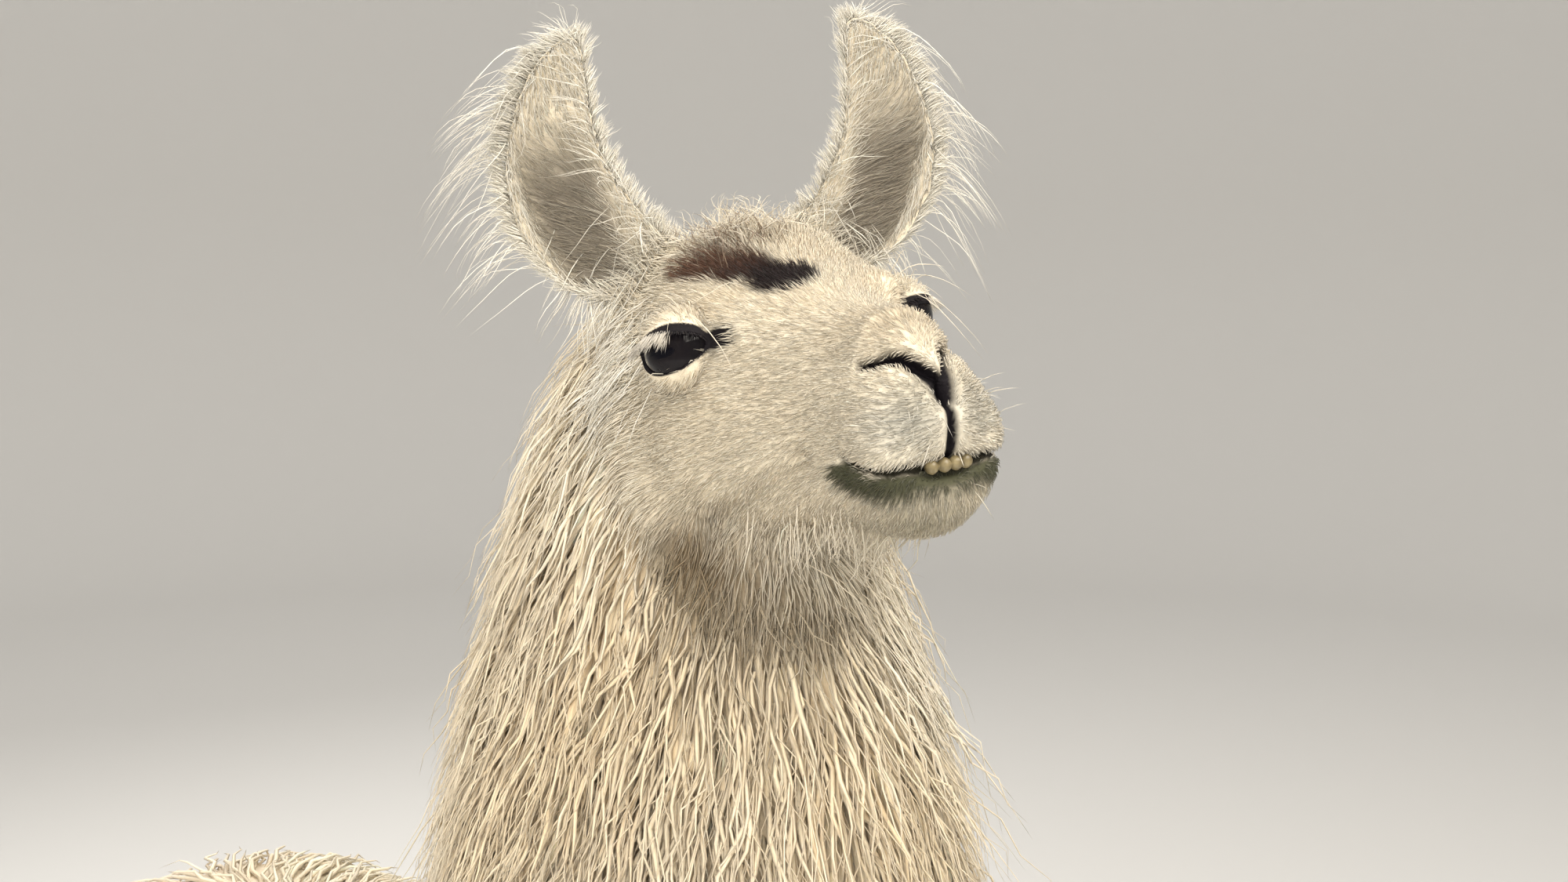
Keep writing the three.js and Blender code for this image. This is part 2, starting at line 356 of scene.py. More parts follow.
class Skin:
    """The skin's points as arrays, and the averages over neighbours."""

    def __init__(self, bm):
        bmesh.ops.triangulate(bm, faces=[f for f in bm.faces if len(f.verts) > 4])
        self.mesh = bpy.data.meshes.new("skin")
        bm.to_mesh(self.mesh)
        bm.free()
        self.read()

    def read(self):
        self.mesh.update()
        self.points = read_array(self.mesh.vertices, "co", 3)
        self.normals = read_array(self.mesh.vertex_normals, "vector", 3)
        self.edges = read_array(self.mesh.edges, "vertices", 2, int)

    def write(self):
        self.mesh.vertices.foreach_set("co", self.points.ravel())
        self.read()

    def spread(self, values, rounds):
        """Averages per-point values with their neighbours'."""
        a, b = self.edges.T
        n = len(self.points)
        count = np.bincount(a, minlength=n) + np.bincount(b, minlength=n)
        flat = values.reshape(n, -1).astype(float)
        for _ in range(rounds):
            for k in range(flat.shape[1]):
                near = np.bincount(a, flat[b, k], n) + np.bincount(b, flat[a, k], n)
                flat[:, k] = 0.5 * flat[:, k] + 0.5 * near / np.maximum(count, 1)
        return flat.reshape(values.shape)


def ramp(value, low, high):
    """0 below low, 1 above high, smooth between."""
    t = np.clip((value - low) / (high - low), 0, 1)
    return t * t * (3 - 2 * t)


def blob(q, centre, radii, mirrored=False):
    """1 at a centre, fading to 0 a little past its radii."""
    q = folded(q) if mirrored else q
    return np.exp(-((((q - centre) / radii) ** 2).sum(axis=1)))


# %% Shares of each part
PARTS = ("head", "neck", "trunk", "tail", "ear", "leg")


def flesh_tree():
    points, faces, owner = [], [], []
    for i, node in enumerate(FLESH):
        me = bpy.data.objects[node].data
        base = len(points)
        points += [v.co.copy() for v in me.vertices]
        faces += [[base + k for k in f.vertices] for f in me.polygons]
        owner += [i] * len(me.polygons)
    return BVHTree.FromPolygons(points, faces), owner


def part_shares(skin, rounds):
    """How much each point belongs to the head, neck, trunk, tail, ears and legs."""
    tree, owner = flesh_tree()
    share = {name: np.zeros(len(skin.points)) for name in PARTS}
    for i, p in enumerate(skin.points.tolist()):
        node = FLESH[owner[tree.find_nearest(p)[2]]]
        share[node.split("_")[0]][i] = 1
    q = in_head(skin.points)
    face = share["neck"] * ramp(-np.linalg.norm(q - (0, -40, -20), axis=1), -176, -158)
    share["head"] += face
    share["neck"] -= face
    table = skin.spread(np.column_stack(list(share.values())), rounds)
    return dict(zip(share, table.T))


# %% How deep the coat is
SOLE_HEIGHT, FOOT_HEIGHT = 0.0035, 0.05  # the sole stays flat, and the foot isn't smoothed


def coat_depth(skin, share):
    """How far the skin lies inside the coat's outline, in metres."""
    q = in_head(skin.points)
    z = skin.points[:, 2]
    head = 3 + 2.5 * ramp(q[:, 1], -60, 0) + 6 * ramp(q[:, 1], 20, 70)
    poll = 7 * blob(q, (0, 55, 70), (38, 34, 26))
    head += poll + 5 * ramp(-q[:, 2], 105, 140) * ramp(q[:, 1], -70, 0)
    leg = 1 + 3.5 * ramp(z, 0.03, 0.14) + 5 * ramp(z, 0.33, 0.42) + 9 * ramp(z, 0.42, 0.6)
    depth = share["head"] * head + share["ear"] * 2.6 + share["neck"] * 25
    depth += share["trunk"] * 24 + share["tail"] * 20 + share["leg"] * leg
    return depth / 1000 / sum(share.values())


skin = Skin(skin_bm)
share = part_shares(skin, 10)
depth = skin.spread(coat_depth(skin, share), 12)
sole = skin.points[:, 2] < SOLE_HEIGHT
skin.points -= skin.normals * depth[:, None]
skin.points[sole, 2] = 0
skin.write()
on_foot = (skin.points[:, 2] < FOOT_HEIGHT)[:, None]
skin.points = np.where(on_foot, skin.points, skin.spread(skin.points, 2))
skin.write()
print("coat depth mm:", (depth * 1000).min().round(1), "to", (depth * 1000).max().round(1))

# %% [markdown]
# ## The face
# Small features are pushed into the skin by fields: a bulge moves points out along their normals
# around a centre, a shift moves them one way, and a groove sinks them along a path. Most work on
# both sides of the face at once, because they only look at how far a point is from the middle.

# %% Fields
def path_distance(q, path):
    """Distance in mm to a bent line, and how far along it the nearest place is, 0 to 1."""
    q, path = folded(q), np.array(path, float)
    lengths = np.linalg.norm(np.diff(path, axis=0), axis=1)
    starts = np.concatenate([[0], np.cumsum(lengths)])
    best = np.full(len(q), 1e9)
    along = np.zeros(len(q))
    for a, b, length, start in zip(path[:-1], path[1:], lengths, starts):
        t = np.clip((q - a) @ (b - a) / length**2, 0, 1)
        d = np.linalg.norm(q - a - t[:, None] * (b - a), axis=1)
        nearer = d < best
        best = np.where(nearer, d, best)
        along = np.where(nearer, (start + t * length) / starts[-1], along)
    return best, along


def bulge(skin, centre, radii, push):
    amount = push / 1000 * blob(in_head(skin.points), centre, radii, mirrored=True)
    skin.points += skin.normals * amount[:, None]


def shift(skin, centre, radii, way, mirrored):
    """Moves the skin round a centre by `way`, in mm and in the head's own directions."""
    amount = blob(in_head(skin.points), centre, radii, mirrored)
    skin.points += amount[:, None] * (HEAD_AXES @ way) / 1000


# %% Lines on the skin
def on_skin(tree, path):
    """A bent line in more, shorter steps, each drawn onto the skin."""
    path = np.array(path, float)
    marks = np.linspace(0, len(path) - 1, 4 * len(path))
    fine = np.column_stack([np.interp(marks, np.arange(len(path)), path[:, k]) for k in range(3)])
    return in_head([tree.find_nearest(p)[0] for p in from_head(fine).tolist()])


def tree_of(skin):
    return BVHTree.FromPolygons(
        [Vector(p) for p in skin.points.tolist()], [list(f.vertices) for f in skin.mesh.polygons]
    )


def slit(skin, tree, path, start_width, end_width):
    """1 along a line on the skin, fading to 0 over a width that changes along it."""
    away, along = path_distance(in_head(skin.points), on_skin(tree, path))
    return np.exp(-((away / (start_width + (end_width - start_width) * along)) ** 2))


# %% Bulges and shifts
BULGES = [  # centre, radii and push, all in mm
    ((30, -112, -30), (15, 46, 20), -4.0),  # the flat side of the bridge
    ((0, -120, -8), (18, 60, 14), 2.5),  # its top
    ((12, -168, -28), (18, 18, 11), 3.5),  # pad over the nostril
    ((24, -158, -50), (14, 18, 8), 1.0),  # below the nostril
    ((15, -178, -70), (13, 16, 17), 3.2),  # lobe of the split upper lip
    ((32, -154, -72), (14, 24, 16), 1.5),  # side of the lip
    ((0, -168, -108), (26, 18, 10), 3.5),  # lower lip
    ((74, 22, -78), (22, 34, 30), 6.0),  # jaw muscle
    ((56, -56, -28), (18, 28, 20), -5.0),  # below the eye's front corner
    ((68, -4, 20), (20, 32, 11), 2.5),  # brow
    ((54, -36, 8), (15, 20, 15), 3.0),  # in front of it
    ((0, 30, 56), (22, 40, 16), -2.0),  # hollow of the forehead
]
SHIFTS = [  # centre, radii, way, and whether it works on both sides
    ((0, -166, -24), (28, 27, 18), (0, 0, 13), False),  # the round top of the nose
    ((0, -180, -40), (12, 12, 11), (0, -6, 2), False),  # its tip
    ((0, -179, -112), (38, 22, 18), (0, 14, 0), False),  # the short chin
    ((20, -182, -72), (15, 16, 20), (0, 5, 0), True),  # the lobes of the upper lip
]
BROW_PUSH = 0.009

for centre, radii, push in BULGES:
    bulge(skin, centre, radii, push)
for centre, radii, way, both_sides in SHIFTS:
    shift(skin, centre, radii, way, both_sides)
left_brow = blob(in_head(skin.points), (54, -30, 12), (18, 24, 16))  # this one stands out more
skin.points += BROW_PUSH * left_brow[:, None] * skin.normals
skin.write()
print("bulges:", len(BULGES), "shifts:", len(SHIFTS))

# %% Nostrils, lips and cheek furrows
NOSTRIL = [
    (1, -189, -54), (6, -184, -46), (10, -176, -39), (14, -167, -33), (19, -160, -32),
    (25, -153, -33), (32, -145, -32),
]
PHILTRUM = [(0, -186, -52), (0, -188, -66), (0, -184, -86)]
MOUTH = [
    (0, -180, -91), (14, -182, -92), (25, -179, -92), (34, -170, -92), (40, -155, -89),
    (42, -130, -81),
]
CHEEK_FURROW = [(46, -84, -80), (50, -61, -93), (60, -14, -108), (72, 10, -120)]
GAP_AT, GAP_SIZE = (0, -182, -91), (19, 20, 9)  # where the lips part over the teeth
PIT_AT, PIT_SIZE, PIT_DEPTH = (0, -182, -91.5), (14, 18, 5), 0.019  # the dark behind them

muzzle_tree = tree_of(skin)
skin.nostril = slit(skin, muzzle_tree, NOSTRIL, 5.4, 2.4)
skin.philtrum = slit(skin, muzzle_tree, PHILTRUM, 2.6, 2.8)
skin.mouth = slit(skin, muzzle_tree, MOUTH, 3.2, 2.0)
skin.lip = slit(skin, muzzle_tree, MOUTH, 9.0, 5.0)
furrow = slit(skin, muzzle_tree, CHEEK_FURROW, 9, 12)
gap = blob(in_head(skin.points), GAP_AT, GAP_SIZE)
sink = 11 * skin.nostril + 6 * skin.philtrum + 7 * furrow
sink += (6 * skin.mouth + 1.5 * skin.lip) * (1 - gap)
skin.points -= skin.normals * sink[:, None] / 1000
for _ in range(12):  # lips that meet the gap are rounded off
    skin.points += gap[:, None] * (skin.spread(skin.points, 1) - skin.points)
pit = blob(in_head(skin.points), PIT_AT, PIT_SIZE)
skin.points += PIT_DEPTH * pit[:, None] * HEAD_AXES[:, 1]
skin.write()
print("deepest groove mm:", sink.max().round(1))

# %% [markdown]
# ## Lids that wrap the eyes
# A llama's eye bulges, and the lids slide over the ball. Seen from the ball's centre, a skin point
# inside the almond-shaped opening sinks behind the ball, and any other point near it is lifted to
# clear the ball by the thickness of a lid, with a rolled edge next to the opening.

# %% The eye and its opening
EYE_RADIUS = 25.0
EYE_CENTRE = np.array([69.0, 7.0, -7.0])
GAZE = math.radians(38)  # how far the eye looks ahead from straight sideways
GAZE_OUT = np.array([math.cos(GAZE), -math.sin(GAZE), 0])  # the line of sight
GAZE_AHEAD = np.array([-math.sin(GAZE), -math.cos(GAZE), 0])  # towards the eye's front corner
OPENING = {"corner": 64.0, "upper": 22.0, "lower": -28.0}  # degrees round the ball
UPPER_ARCH, LOWER_ARCH = 0.55, 0.75  # below 1, a lid's edge is fuller than a parabola
LEFT_SQUINT = 0.5  # the left upper lid is half closed
LID_RISE, LID_RISE_OVER = 2, 60  # the opening rises 2 degrees over 60 degrees ahead


def eye_view(q):
    """Each point as seen from the ball's centre: degrees ahead, degrees up, and distance."""
    d = folded(q) - EYE_CENTRE
    away = np.linalg.norm(d, axis=1)
    yaw = np.degrees(np.arctan2(d @ GAZE_AHEAD, d @ GAZE_OUT))
    rise = np.degrees(np.arcsin(np.clip(d[:, 2] / np.maximum(away, 1e-6), -1, 1)))
    return yaw, rise, away


def lid_edge(yaw, height, arch):
    return height * np.clip(1 - (yaw / OPENING["corner"]) ** 2, 0, 1) ** arch


def inside_lids(q):
    """Degrees inside the opening, negative outside."""
    yaw, rise, _ = eye_view(q)
    squint = 1 - LEFT_SQUINT * (q[:, 0] > 0)
    upper = lid_edge(yaw, squint * OPENING["upper"], UPPER_ARCH) + LID_RISE * yaw / LID_RISE_OVER
    lower = lid_edge(yaw, OPENING["lower"], LOWER_ARCH) + LID_RISE * yaw / LID_RISE_OVER
    inside = np.minimum(upper - rise, rise - lower)
    past = np.maximum(np.abs(yaw) - OPENING["corner"], 0)
    return np.where(past > 0, np.minimum(inside, -1) - 0.5 * past, inside)


# %% Lids
LID_THICK, LID_ROLL = 1.7, 1.3  # mm over the ball, and more at the upper lid's edge
LID_REACH = 44  # mm from the ball's centre that the lids reach
BEHIND_BALL = 3.5  # mm that the skin in the opening sinks below the ball


def wrap_lids(skin):
    q = in_head(skin.points)
    yaw, rise, away = eye_view(q)
    inside = inside_lids(q)
    facing = (np.abs(yaw) < 100) & (away < LID_REACH)
    lid = EYE_RADIUS + LID_THICK + LID_ROLL * np.exp(-((inside / 7) ** 2)) * ramp(rise, -25, 20)
    outside = np.maximum(away, lid)
    target = np.where(inside > 0, EYE_RADIUS - BEHIND_BALL, outside)
    target = np.where(facing, target, away)
    centre = EYE_CENTRE * np.column_stack([np.sign(q[:, 0]), np.ones(len(q)), np.ones(len(q))])
    skin.points = from_head(centre + (q - centre) * (target / np.maximum(away, 1e-6))[:, None])
    skin.write()
    print("skin points in the openings:", int((facing & (inside > 0)).sum()))


wrap_lids(skin)

# %% [markdown]
# ## The skin's own map
# Every lock later gets a small patch of a map of the skin, at the place of its root. So
# the skin is unwrapped once, by the angle of its faces, into a map that the locks share.

# %% Skin object and map
def shade_smooth(me):
    me.polygons.foreach_set("use_smooth", np.ones(len(me.polygons), bool))


def add_object(name, me, *materials):
    piece = bpy.data.objects.new(name, me)
    for material in materials:
        piece.data.materials.append(material)
    scene.collection.objects.link(piece)
    return piece


shade_smooth(skin.mesh)
skin_piece = add_object("skin", skin.mesh)
skin.mesh.uv_layers.new(name="OFBake")
bpy.context.view_layer.objects.active = skin_piece
skin_piece.select_set(True)
bpy.ops.object.mode_set(mode="EDIT")
bpy.ops.mesh.select_all(action="SELECT")
bpy.ops.uv.smart_project(angle_limit=math.radians(75), island_margin=0.002)
bpy.ops.object.mode_set(mode="OBJECT")
skin_piece.select_set(False)
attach(skin_piece, "root")
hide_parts(*FLESH)
print("skin:", len(skin.mesh.vertices), "points,", len(skin.mesh.polygons), "faces")

# %% [markdown]
# ## Colours
# One function gives the colour at any place, so the skin and the locks rooted on it always agree:
# warm cream wool, a whiter face, one dark patch across the brow with brown hair behind it, a brown
# throat with painted shade under the jaw, a greenish stain below the mouth and a pinkish rump.
# Bare skin adds darks of its own: black lids and lips, and black nostrils that also carry painted
# shadow of the septum at their inner ends.

# %% Colours of wool and skin
WOOL_CREAM = (0.90, 0.72, 0.47)
WOOL_PALE = (0.94, 0.83, 0.64)
FACE_WHITE = (0.93, 0.83, 0.65)
MUZZLE_WHITE = (0.54, 0.52, 0.45)
PATCH_DARK = (0.016, 0.010, 0.010)
PATCH_BROWN = (0.13, 0.065, 0.042)
LID_BLACK = (0.010, 0.008, 0.010)
LIP_STAIN = (0.080, 0.080, 0.045)
EAR_GREY = (0.17, 0.145, 0.115)
RUMP_PINK = (0.55, 0.33, 0.27)
# brown throat hair, dark enough to stand in for the shade under the jaw as well
THROAT_BROWN_AND_SHADE = (0.21, 0.145, 0.075)
BRIDGE_BUFF = (0.66, 0.55, 0.39)
CHIN_BUFF = (0.52, 0.46, 0.33)
MOUTH_DARK = (0.030, 0.027, 0.018)
HOLLOW_HAIR = (0.36, 0.31, 0.235)
EAR_WHITE = (0.93, 0.87, 0.74)
BROWN_HAIR = (0.17, 0.115, 0.075)
LASH_PALE = (0.74, 0.67, 0.56)
LASH_DARK = (0.012, 0.010, 0.012)

# %% Where the markings lie, and the painted shade under the jaw
# the throat line carries brown hair, deepened under the jaw by painted shade
THROAT_LINE = [(84, 24, -126), (68, 8, -146), (42, -2, -160), (0, 2, -170)]
THROAT_WIDTH, STAIN_WIDTH = 23, 15
BROW_PATCH = [((-54, 26, 46), 11), ((-42, 14, 45), 15), ((-27, -4, 41), 19), ((-13, -31, 27), 20)]
RUMP_AT, RUMP_SIZE = (-0.13, 0.47, 0.985), (0.13, 0.13, 0.08)


def wander(p, size, seed=0.0):
    """Smooth changes from -1 to 1 over about `size` metres."""
    k = 2 * math.pi / size
    x, y, z = (p * k).T
    value = np.sin(x + 1.7 * np.sin(0.61 * y + seed) + seed)
    value += np.sin(1.13 * y + 1.5 * np.sin(0.7 * z) + 2 * seed)
    return (value + np.sin(0.91 * z + 1.6 * np.sin(0.8 * x) + 3 * seed)) / 3


def mix(a, b, amount):
    return a + (np.asarray(b) - a) * np.clip(amount, 0, 1)[:, None]


def brow_patch(q):
    """1 inside the dark patch on the brow, 0 outside, with a ragged edge."""
    spots = [np.linalg.norm((q - centre) / radius, axis=1) for centre, radius in BROW_PATCH]
    return ramp(-np.min(spots, axis=0), -1.25, -0.9)


# %% Colour by place
def wool_colour(p, q, headness):
    color = np.tile(WOOL_CREAM, (len(p), 1)).astype(float)
    color = mix(color, WOOL_PALE, 0.5 + 0.5 * wander(p, 0.23, 1.0))
    color = mix(color, WOOL_PALE, ramp(p[:, 1], -0.1, 0.15) * 0.7)
    color = mix(color, FACE_WHITE, headness * (0.85 + 0.15 * wander(p, 0.07)))
    color = mix(color, BRIDGE_BUFF, 0.85 * headness * blob(q, (0, -142, -16), (26, 38, 16)))
    lobes = blob(q, (16, -172, -68), (26, 28, 18), mirrored=True)
    color = mix(color, MUZZLE_WHITE, 0.8 * headness * lobes)
    # brown hair down the throat, darkened further under the jaw as painted shade
    away, along = path_distance(q, THROAT_LINE)
    throat = (0.95 - 0.2 * along) * np.exp(-((away / THROAT_WIDTH) ** 2))
    return mix(mix(color, THROAT_BROWN_AND_SHADE, throat), RUMP_PINK, 0.8 * blob(p, RUMP_AT, RUMP_SIZE))


def colour_at(p, headness):
    q = in_head(p)
    color = wool_colour(p, q, headness)
    patch = mix(np.tile(PATCH_DARK, (len(p), 1)), PATCH_BROWN, ramp(q[:, 1], -25, 30))
    color = mix(color, PATCH_BROWN, headness * 0.35 * blob(q, (-28, 26, 56), (30, 18, 16)))
    color = mix(color, patch, headness * brow_patch(q))
    below = ramp(-q[:, 2] - 91 + 9 * ramp(q[:, 1], -160, -130), -1, 4)
    stain = 1.5 * np.exp(-((path_distance(q, MOUTH)[0] / STAIN_WIDTH) ** 2)) * below
    stain = stain + 0.5 * blob(q, (-10, -160, -118), (20, 18, 10))
    color = mix(color, LIP_STAIN, ramp(stain, 0.05, 0.8) * headness)
    chin = 0.7 * headness * ramp(-q[:, 2], 96, 120) * ramp(-q[:, 1], 60, 120)
    color = mix(color, CHIN_BUFF, chin)
    tear_duct = blob(q, (61, -23, -5), (9, 11, 7), mirrored=True)
    color = mix(color, LID_BLACK, 1.3 * headness * tear_duct)
    nose_tip = blob(q, (12, -184, -48), (18, 10, 9), mirrored=True)
    return mix(color, LIP_STAIN, 0.45 * headness * nose_tip)


def bare_colour(skin, color):
    """The extra darks of bare skin, which no hair covers; in the nostrils they are partly dark skin and
    partly painted shadow of the septum.
    """
    q = in_head(skin.points)
    color = mix(color, EAR_GREY, 0.9 * skin.inner_ear)
    color = mix(color, MOUTH_DARK, 2.2 * skin.mouth * skin.headness)
    # black skin on the lids and philtrum; in the nostrils partly dark skin and partly painted shadow of
    # the septum
    black_skin_and_nostril_shadow = np.max([skin.lids, skin.nostril, skin.philtrum], axis=0)
    return mix(color, LID_BLACK, 2.2 * black_skin_and_nostril_shadow * skin.headness)


# %% [markdown]
# ## How the hair lies
# Hair is combed by gravity and habit: back from the nose, down the cheeks and neck, back and
# down the flanks. Each skin point gets a direction, a length, a lock width and how much a lock
# waves, all averaged with their neighbours so that no line shows.

# %% The parts of an ear
def tangent(direction, normal):
    return unit(direction - normal * (direction * normal).sum(axis=-1, keepdims=True))


def across_ear(skin, share):
    """How far each ear point lies to the outer side of its ear's middle line, in mm."""
    q = in_head(skin.points)
    across = np.zeros(len(q))
    for side in (-1, 1):
        mine = (share["ear"] > 0.4) & (np.sign(q[:, 0]) == side)
        line = np.polyfit(q[mine, 2], q[mine, 0], 2)
        across[mine] = side * (q[mine, 0] - np.polyval(line, q[mine, 2]))
    return across


def inner_ear_share(skin, share):
    """1 deep in the ear's hollow, and a share that peaks on the rim."""
    facing = -(skin.normals @ HEAD_AXES)[:, 1]
    front = skin.spread(np.clip(share["ear"], 0, 1) * ramp(facing, 0.0, 0.45), 22)
    rim = np.clip(share["ear"], 0, 1) * ramp(4 * front * (1 - front), 0.72, 0.95)
    low = ramp(-in_head(skin.points)[:, 2], -165, -105)
    middle_part = ramp(-np.abs(skin.across - 2), -31, -14)
    return np.clip(share["ear"], 0, 1) * ramp(front, 0.6, 1.0) * low * middle_part, rim


# %% Directions
def head_lie(q, p, side, one):
    top = blob(q, (0, 66, 80), (44, 34, 26))
    fall = -0.12 - 1.6 * blob(q, (0, -178, -108), (30, 16, 14)) - 0.9 * ramp(-q[:, 2], 70, 135)
    fall = fall - 0.55 * ramp(q[:, 1], 0, 70) * ramp(-q[:, 2], -40, 20)
    parting = 1.4 * blob(q, (8, -184, -72), (18, 14, 28), mirrored=True)
    head = np.column_stack([(0.12 + parting) * side, one, fall]) * (1 - top)[:, None]
    return head + top[:, None] * np.column_stack([0.25 * wander(p, 0.04), -0.35 * one, one])


def ear_lie(skin, side, one):
    inner, rim = skin.inner_ear[:, None], skin.ear_rim[:, None]
    rim_way = np.column_stack([1.2 * np.tanh(skin.across / 8) * side, 0.2 * one, one])
    ear = np.column_stack([0.1 * side, -0.1 * one, one]) * (1 - rim) + rim * rim_way
    return (1 - inner) * ear + inner * np.column_stack([side, -0.3 * one, 0.3 * one])


def lie_directions(skin, share):
    p = skin.points
    q = in_head(p)
    side = np.sign(q[:, 0])
    one = np.ones(len(p))
    head, ear = head_lie(q, p, side, one), ear_lie(skin, side, one)
    neck = np.column_stack([0 * one, 0.10 * one, -one])
    trunk = np.column_stack([0.8 * np.tanh(p[:, 0] / 0.05), 0.5 * one, -one])
    down = np.column_stack([0 * one, 0.05 * one, -one])
    foot = ramp(-p[:, 2], -0.07, -0.03)[:, None]
    leg = down * (1 - foot) + foot * np.column_stack([0 * one, -one, -0.3 * one])
    total = share["head"][:, None] * (head @ HEAD_AXES.T) + share["ear"][:, None] * (ear @ HEAD_AXES.T)
    total += share["neck"][:, None] * neck + share["trunk"][:, None] * trunk
    total += share["tail"][:, None] * down + share["leg"][:, None] * leg
    return tangent(skin.spread(total, 6), skin.normals)


# %% Sizes
def coat_sizes(skin, share):
    """Length, width and wave of a lock in mm at each point."""
    p = skin.points
    q = in_head(p)
    z = p[:, 2]
    top = blob(q, (0, 62, 80), (36, 30, 24))
    jaw = ramp(-q[:, 2], 112, 150) * ramp(q[:, 1], -100, -10)
    head = 8 + 4 * ramp(q[:, 1], -160, -80) + 3 * ramp(q[:, 1], -40, 20)
    head = head + 16 * ramp(q[:, 1], 25, 85)
    head += 22 * top + 34 * jaw
    leg = 9 + 8 * ramp(z, 0.05, 0.15) + 22 * ramp(z, 0.34, 0.42) + 30 * ramp(z, 0.42, 0.6)
    ear = 12 + 12 * skin.ear_rim + 10 * skin.inner_ear
    length = {"head": head, "ear": ear, "neck": 100, "trunk": 92, "tail": 125, "leg": leg}
    width_head = 0.85 + 0.5 * ramp(q[:, 1], 20, 80) + 0.6 * top + 0.7 * jaw
    width_leg = 2.4 + 2.8 * ramp(z, 0.34, 0.5)
    width = {"head": width_head, "ear": 0.95, "neck": 4.6, "trunk": 7.0, "tail": 6.0, "leg": width_leg}
    wave_head = 0.25 + 2.0 * top + 1.2 * jaw
    wave_leg = 0.2 + 3 * ramp(z, 0.36, 0.5)
    wave = {"head": wave_head, "ear": 0.8, "neck": 3.2, "trunk": 4.5, "tail": 5.0, "leg": wave_leg}
    weight = sum(share.values())
    table = [sum(share[k] * part[k] for k in share) / weight for part in (length, width, wave)]
    return skin.spread(np.column_stack(table), 4).T


# %% What each skin point carries
skin.across = across_ear(skin, share)
skin.inner_ear, skin.ear_rim = inner_ear_share(skin, share)
skin.length, skin.width, skin.wave = coat_sizes(skin, share)
skin.lie = lie_directions(skin, share)
shaggy = np.clip((share["neck"] + share["trunk"] + share["tail"]) / sum(share.values()), 0, 1)
folds = wander(skin.points * [1, 1, 0.22], 0.075, 2.0)  # long upright folds, and finer ones
folds = folds + 0.5 * wander(skin.points * [1, 1, 0.3], 0.034, 5.0)
skin.depth = depth * 1000 * (1 + 0.3 * shaggy * folds)
skin.headness = np.clip((share["head"] + share["ear"]) / sum(share.values()), 0, 1)
skin.slits = np.max([skin.nostril, skin.philtrum, skin.mouth], axis=0)
q = in_head(skin.points)
yaw, rise, away = eye_view(q)
front_lid = ramp(yaw, -50, 25) * ramp(rise, -12, 10)
lower_lid = ramp(-rise, 4, 16)
skin.lids = ramp(inside_lids(q) + 9 * front_lid - 4 * lower_lid, -8, -4) * ramp(-away, -50, -40)
skin.bare = np.maximum(skin.lids, ramp(skin.slits, 0.12, 0.35) * skin.headness)
skin.bare = np.maximum(skin.bare, ramp(-skin.points[:, 2], -0.012, -0.006))
near_slit = np.max([skin.lip, skin.nostril**0.25, skin.philtrum**0.3], axis=0) * skin.headness
skin.length = skin.length * (1 - 0.55 * near_slit)
print("lock length mm:", skin.length.min().round(1), "to", skin.length.max().round(1))

# %% [markdown]
# ## Materials for skin and wool
# Both finishes start from the painted colour of each point. The skin adds a felt of fine noise,
# and is painted darker than the wool, as the shade that lies in the gaps between the locks.
# A lock is a little darker at its root, where little light reaches, and has lengthwise strands.

# %% Helpers for finishes
def new_material(name):
    material = bpy.data.materials.new(name)
    material.use_nodes = True
    return material, material.node_tree.nodes, material.node_tree.links


def named(nodes, kind, **values):
    node = nodes.new(kind)
    for key, value in values.items():
        if isinstance(value, (int, float, tuple)) and key in node.inputs:
            node.inputs[key].default_value = value
        else:
            setattr(node, key, value)
    return node


def attribute(nodes, name):
    return named(nodes, "ShaderNodeAttribute", attribute_name=name)


def times(nodes, links, color, factor):
    """A colour made darker or lighter by a factor."""
    node = named(nodes, "ShaderNodeVectorMath", operation="SCALE")
    links.new(color, node.inputs[0])
    links.new(factor, node.inputs["Scale"])
    return node.outputs["Vector"]


def range_of(nodes, links, value, low, high, to_low, to_high):
    node = nodes.new("ShaderNodeMapRange")
    for key, number in zip(("From Min", "From Max", "To Min", "To Max"), (low, high, to_low, to_high)):
        node.inputs[key].default_value = number
    links.new(value, node.inputs["Value"])
    return node.outputs["Result"]


# %% Skin finish
def skin_finish():
    material, nodes, links = new_material("felted skin")
    shader = nodes["Principled BSDF"]
    place = nodes.new("ShaderNodeTexCoord").outputs["Object"]
    felt = named(nodes, "ShaderNodeTexNoise", Scale=420.0, Detail=4.0, Roughness=0.65)
    links.new(place, felt.inputs["Vector"])
    # painted shade: the felt never reaches the tint's full brightness, so the skin between the locks reads
    # as shaded
    shade = range_of(nodes, links, felt.outputs["Fac"], 0.3, 0.7, 0.7, 0.92)
    tint = attribute(nodes, "tint").outputs["Color"]
    links.new(times(nodes, links, tint, shade), shader.inputs["Base Color"])
    bump = named(nodes, "ShaderNodeBump", Strength=0.6, Distance=0.0008)
    links.new(felt.outputs["Fac"], bump.inputs["Height"])
    links.new(bump.outputs["Normal"], shader.inputs["Normal"])
    shader.inputs["Roughness"].default_value = 0.8
    shader.inputs["Specular IOR Level"].default_value = 0.25
    return material


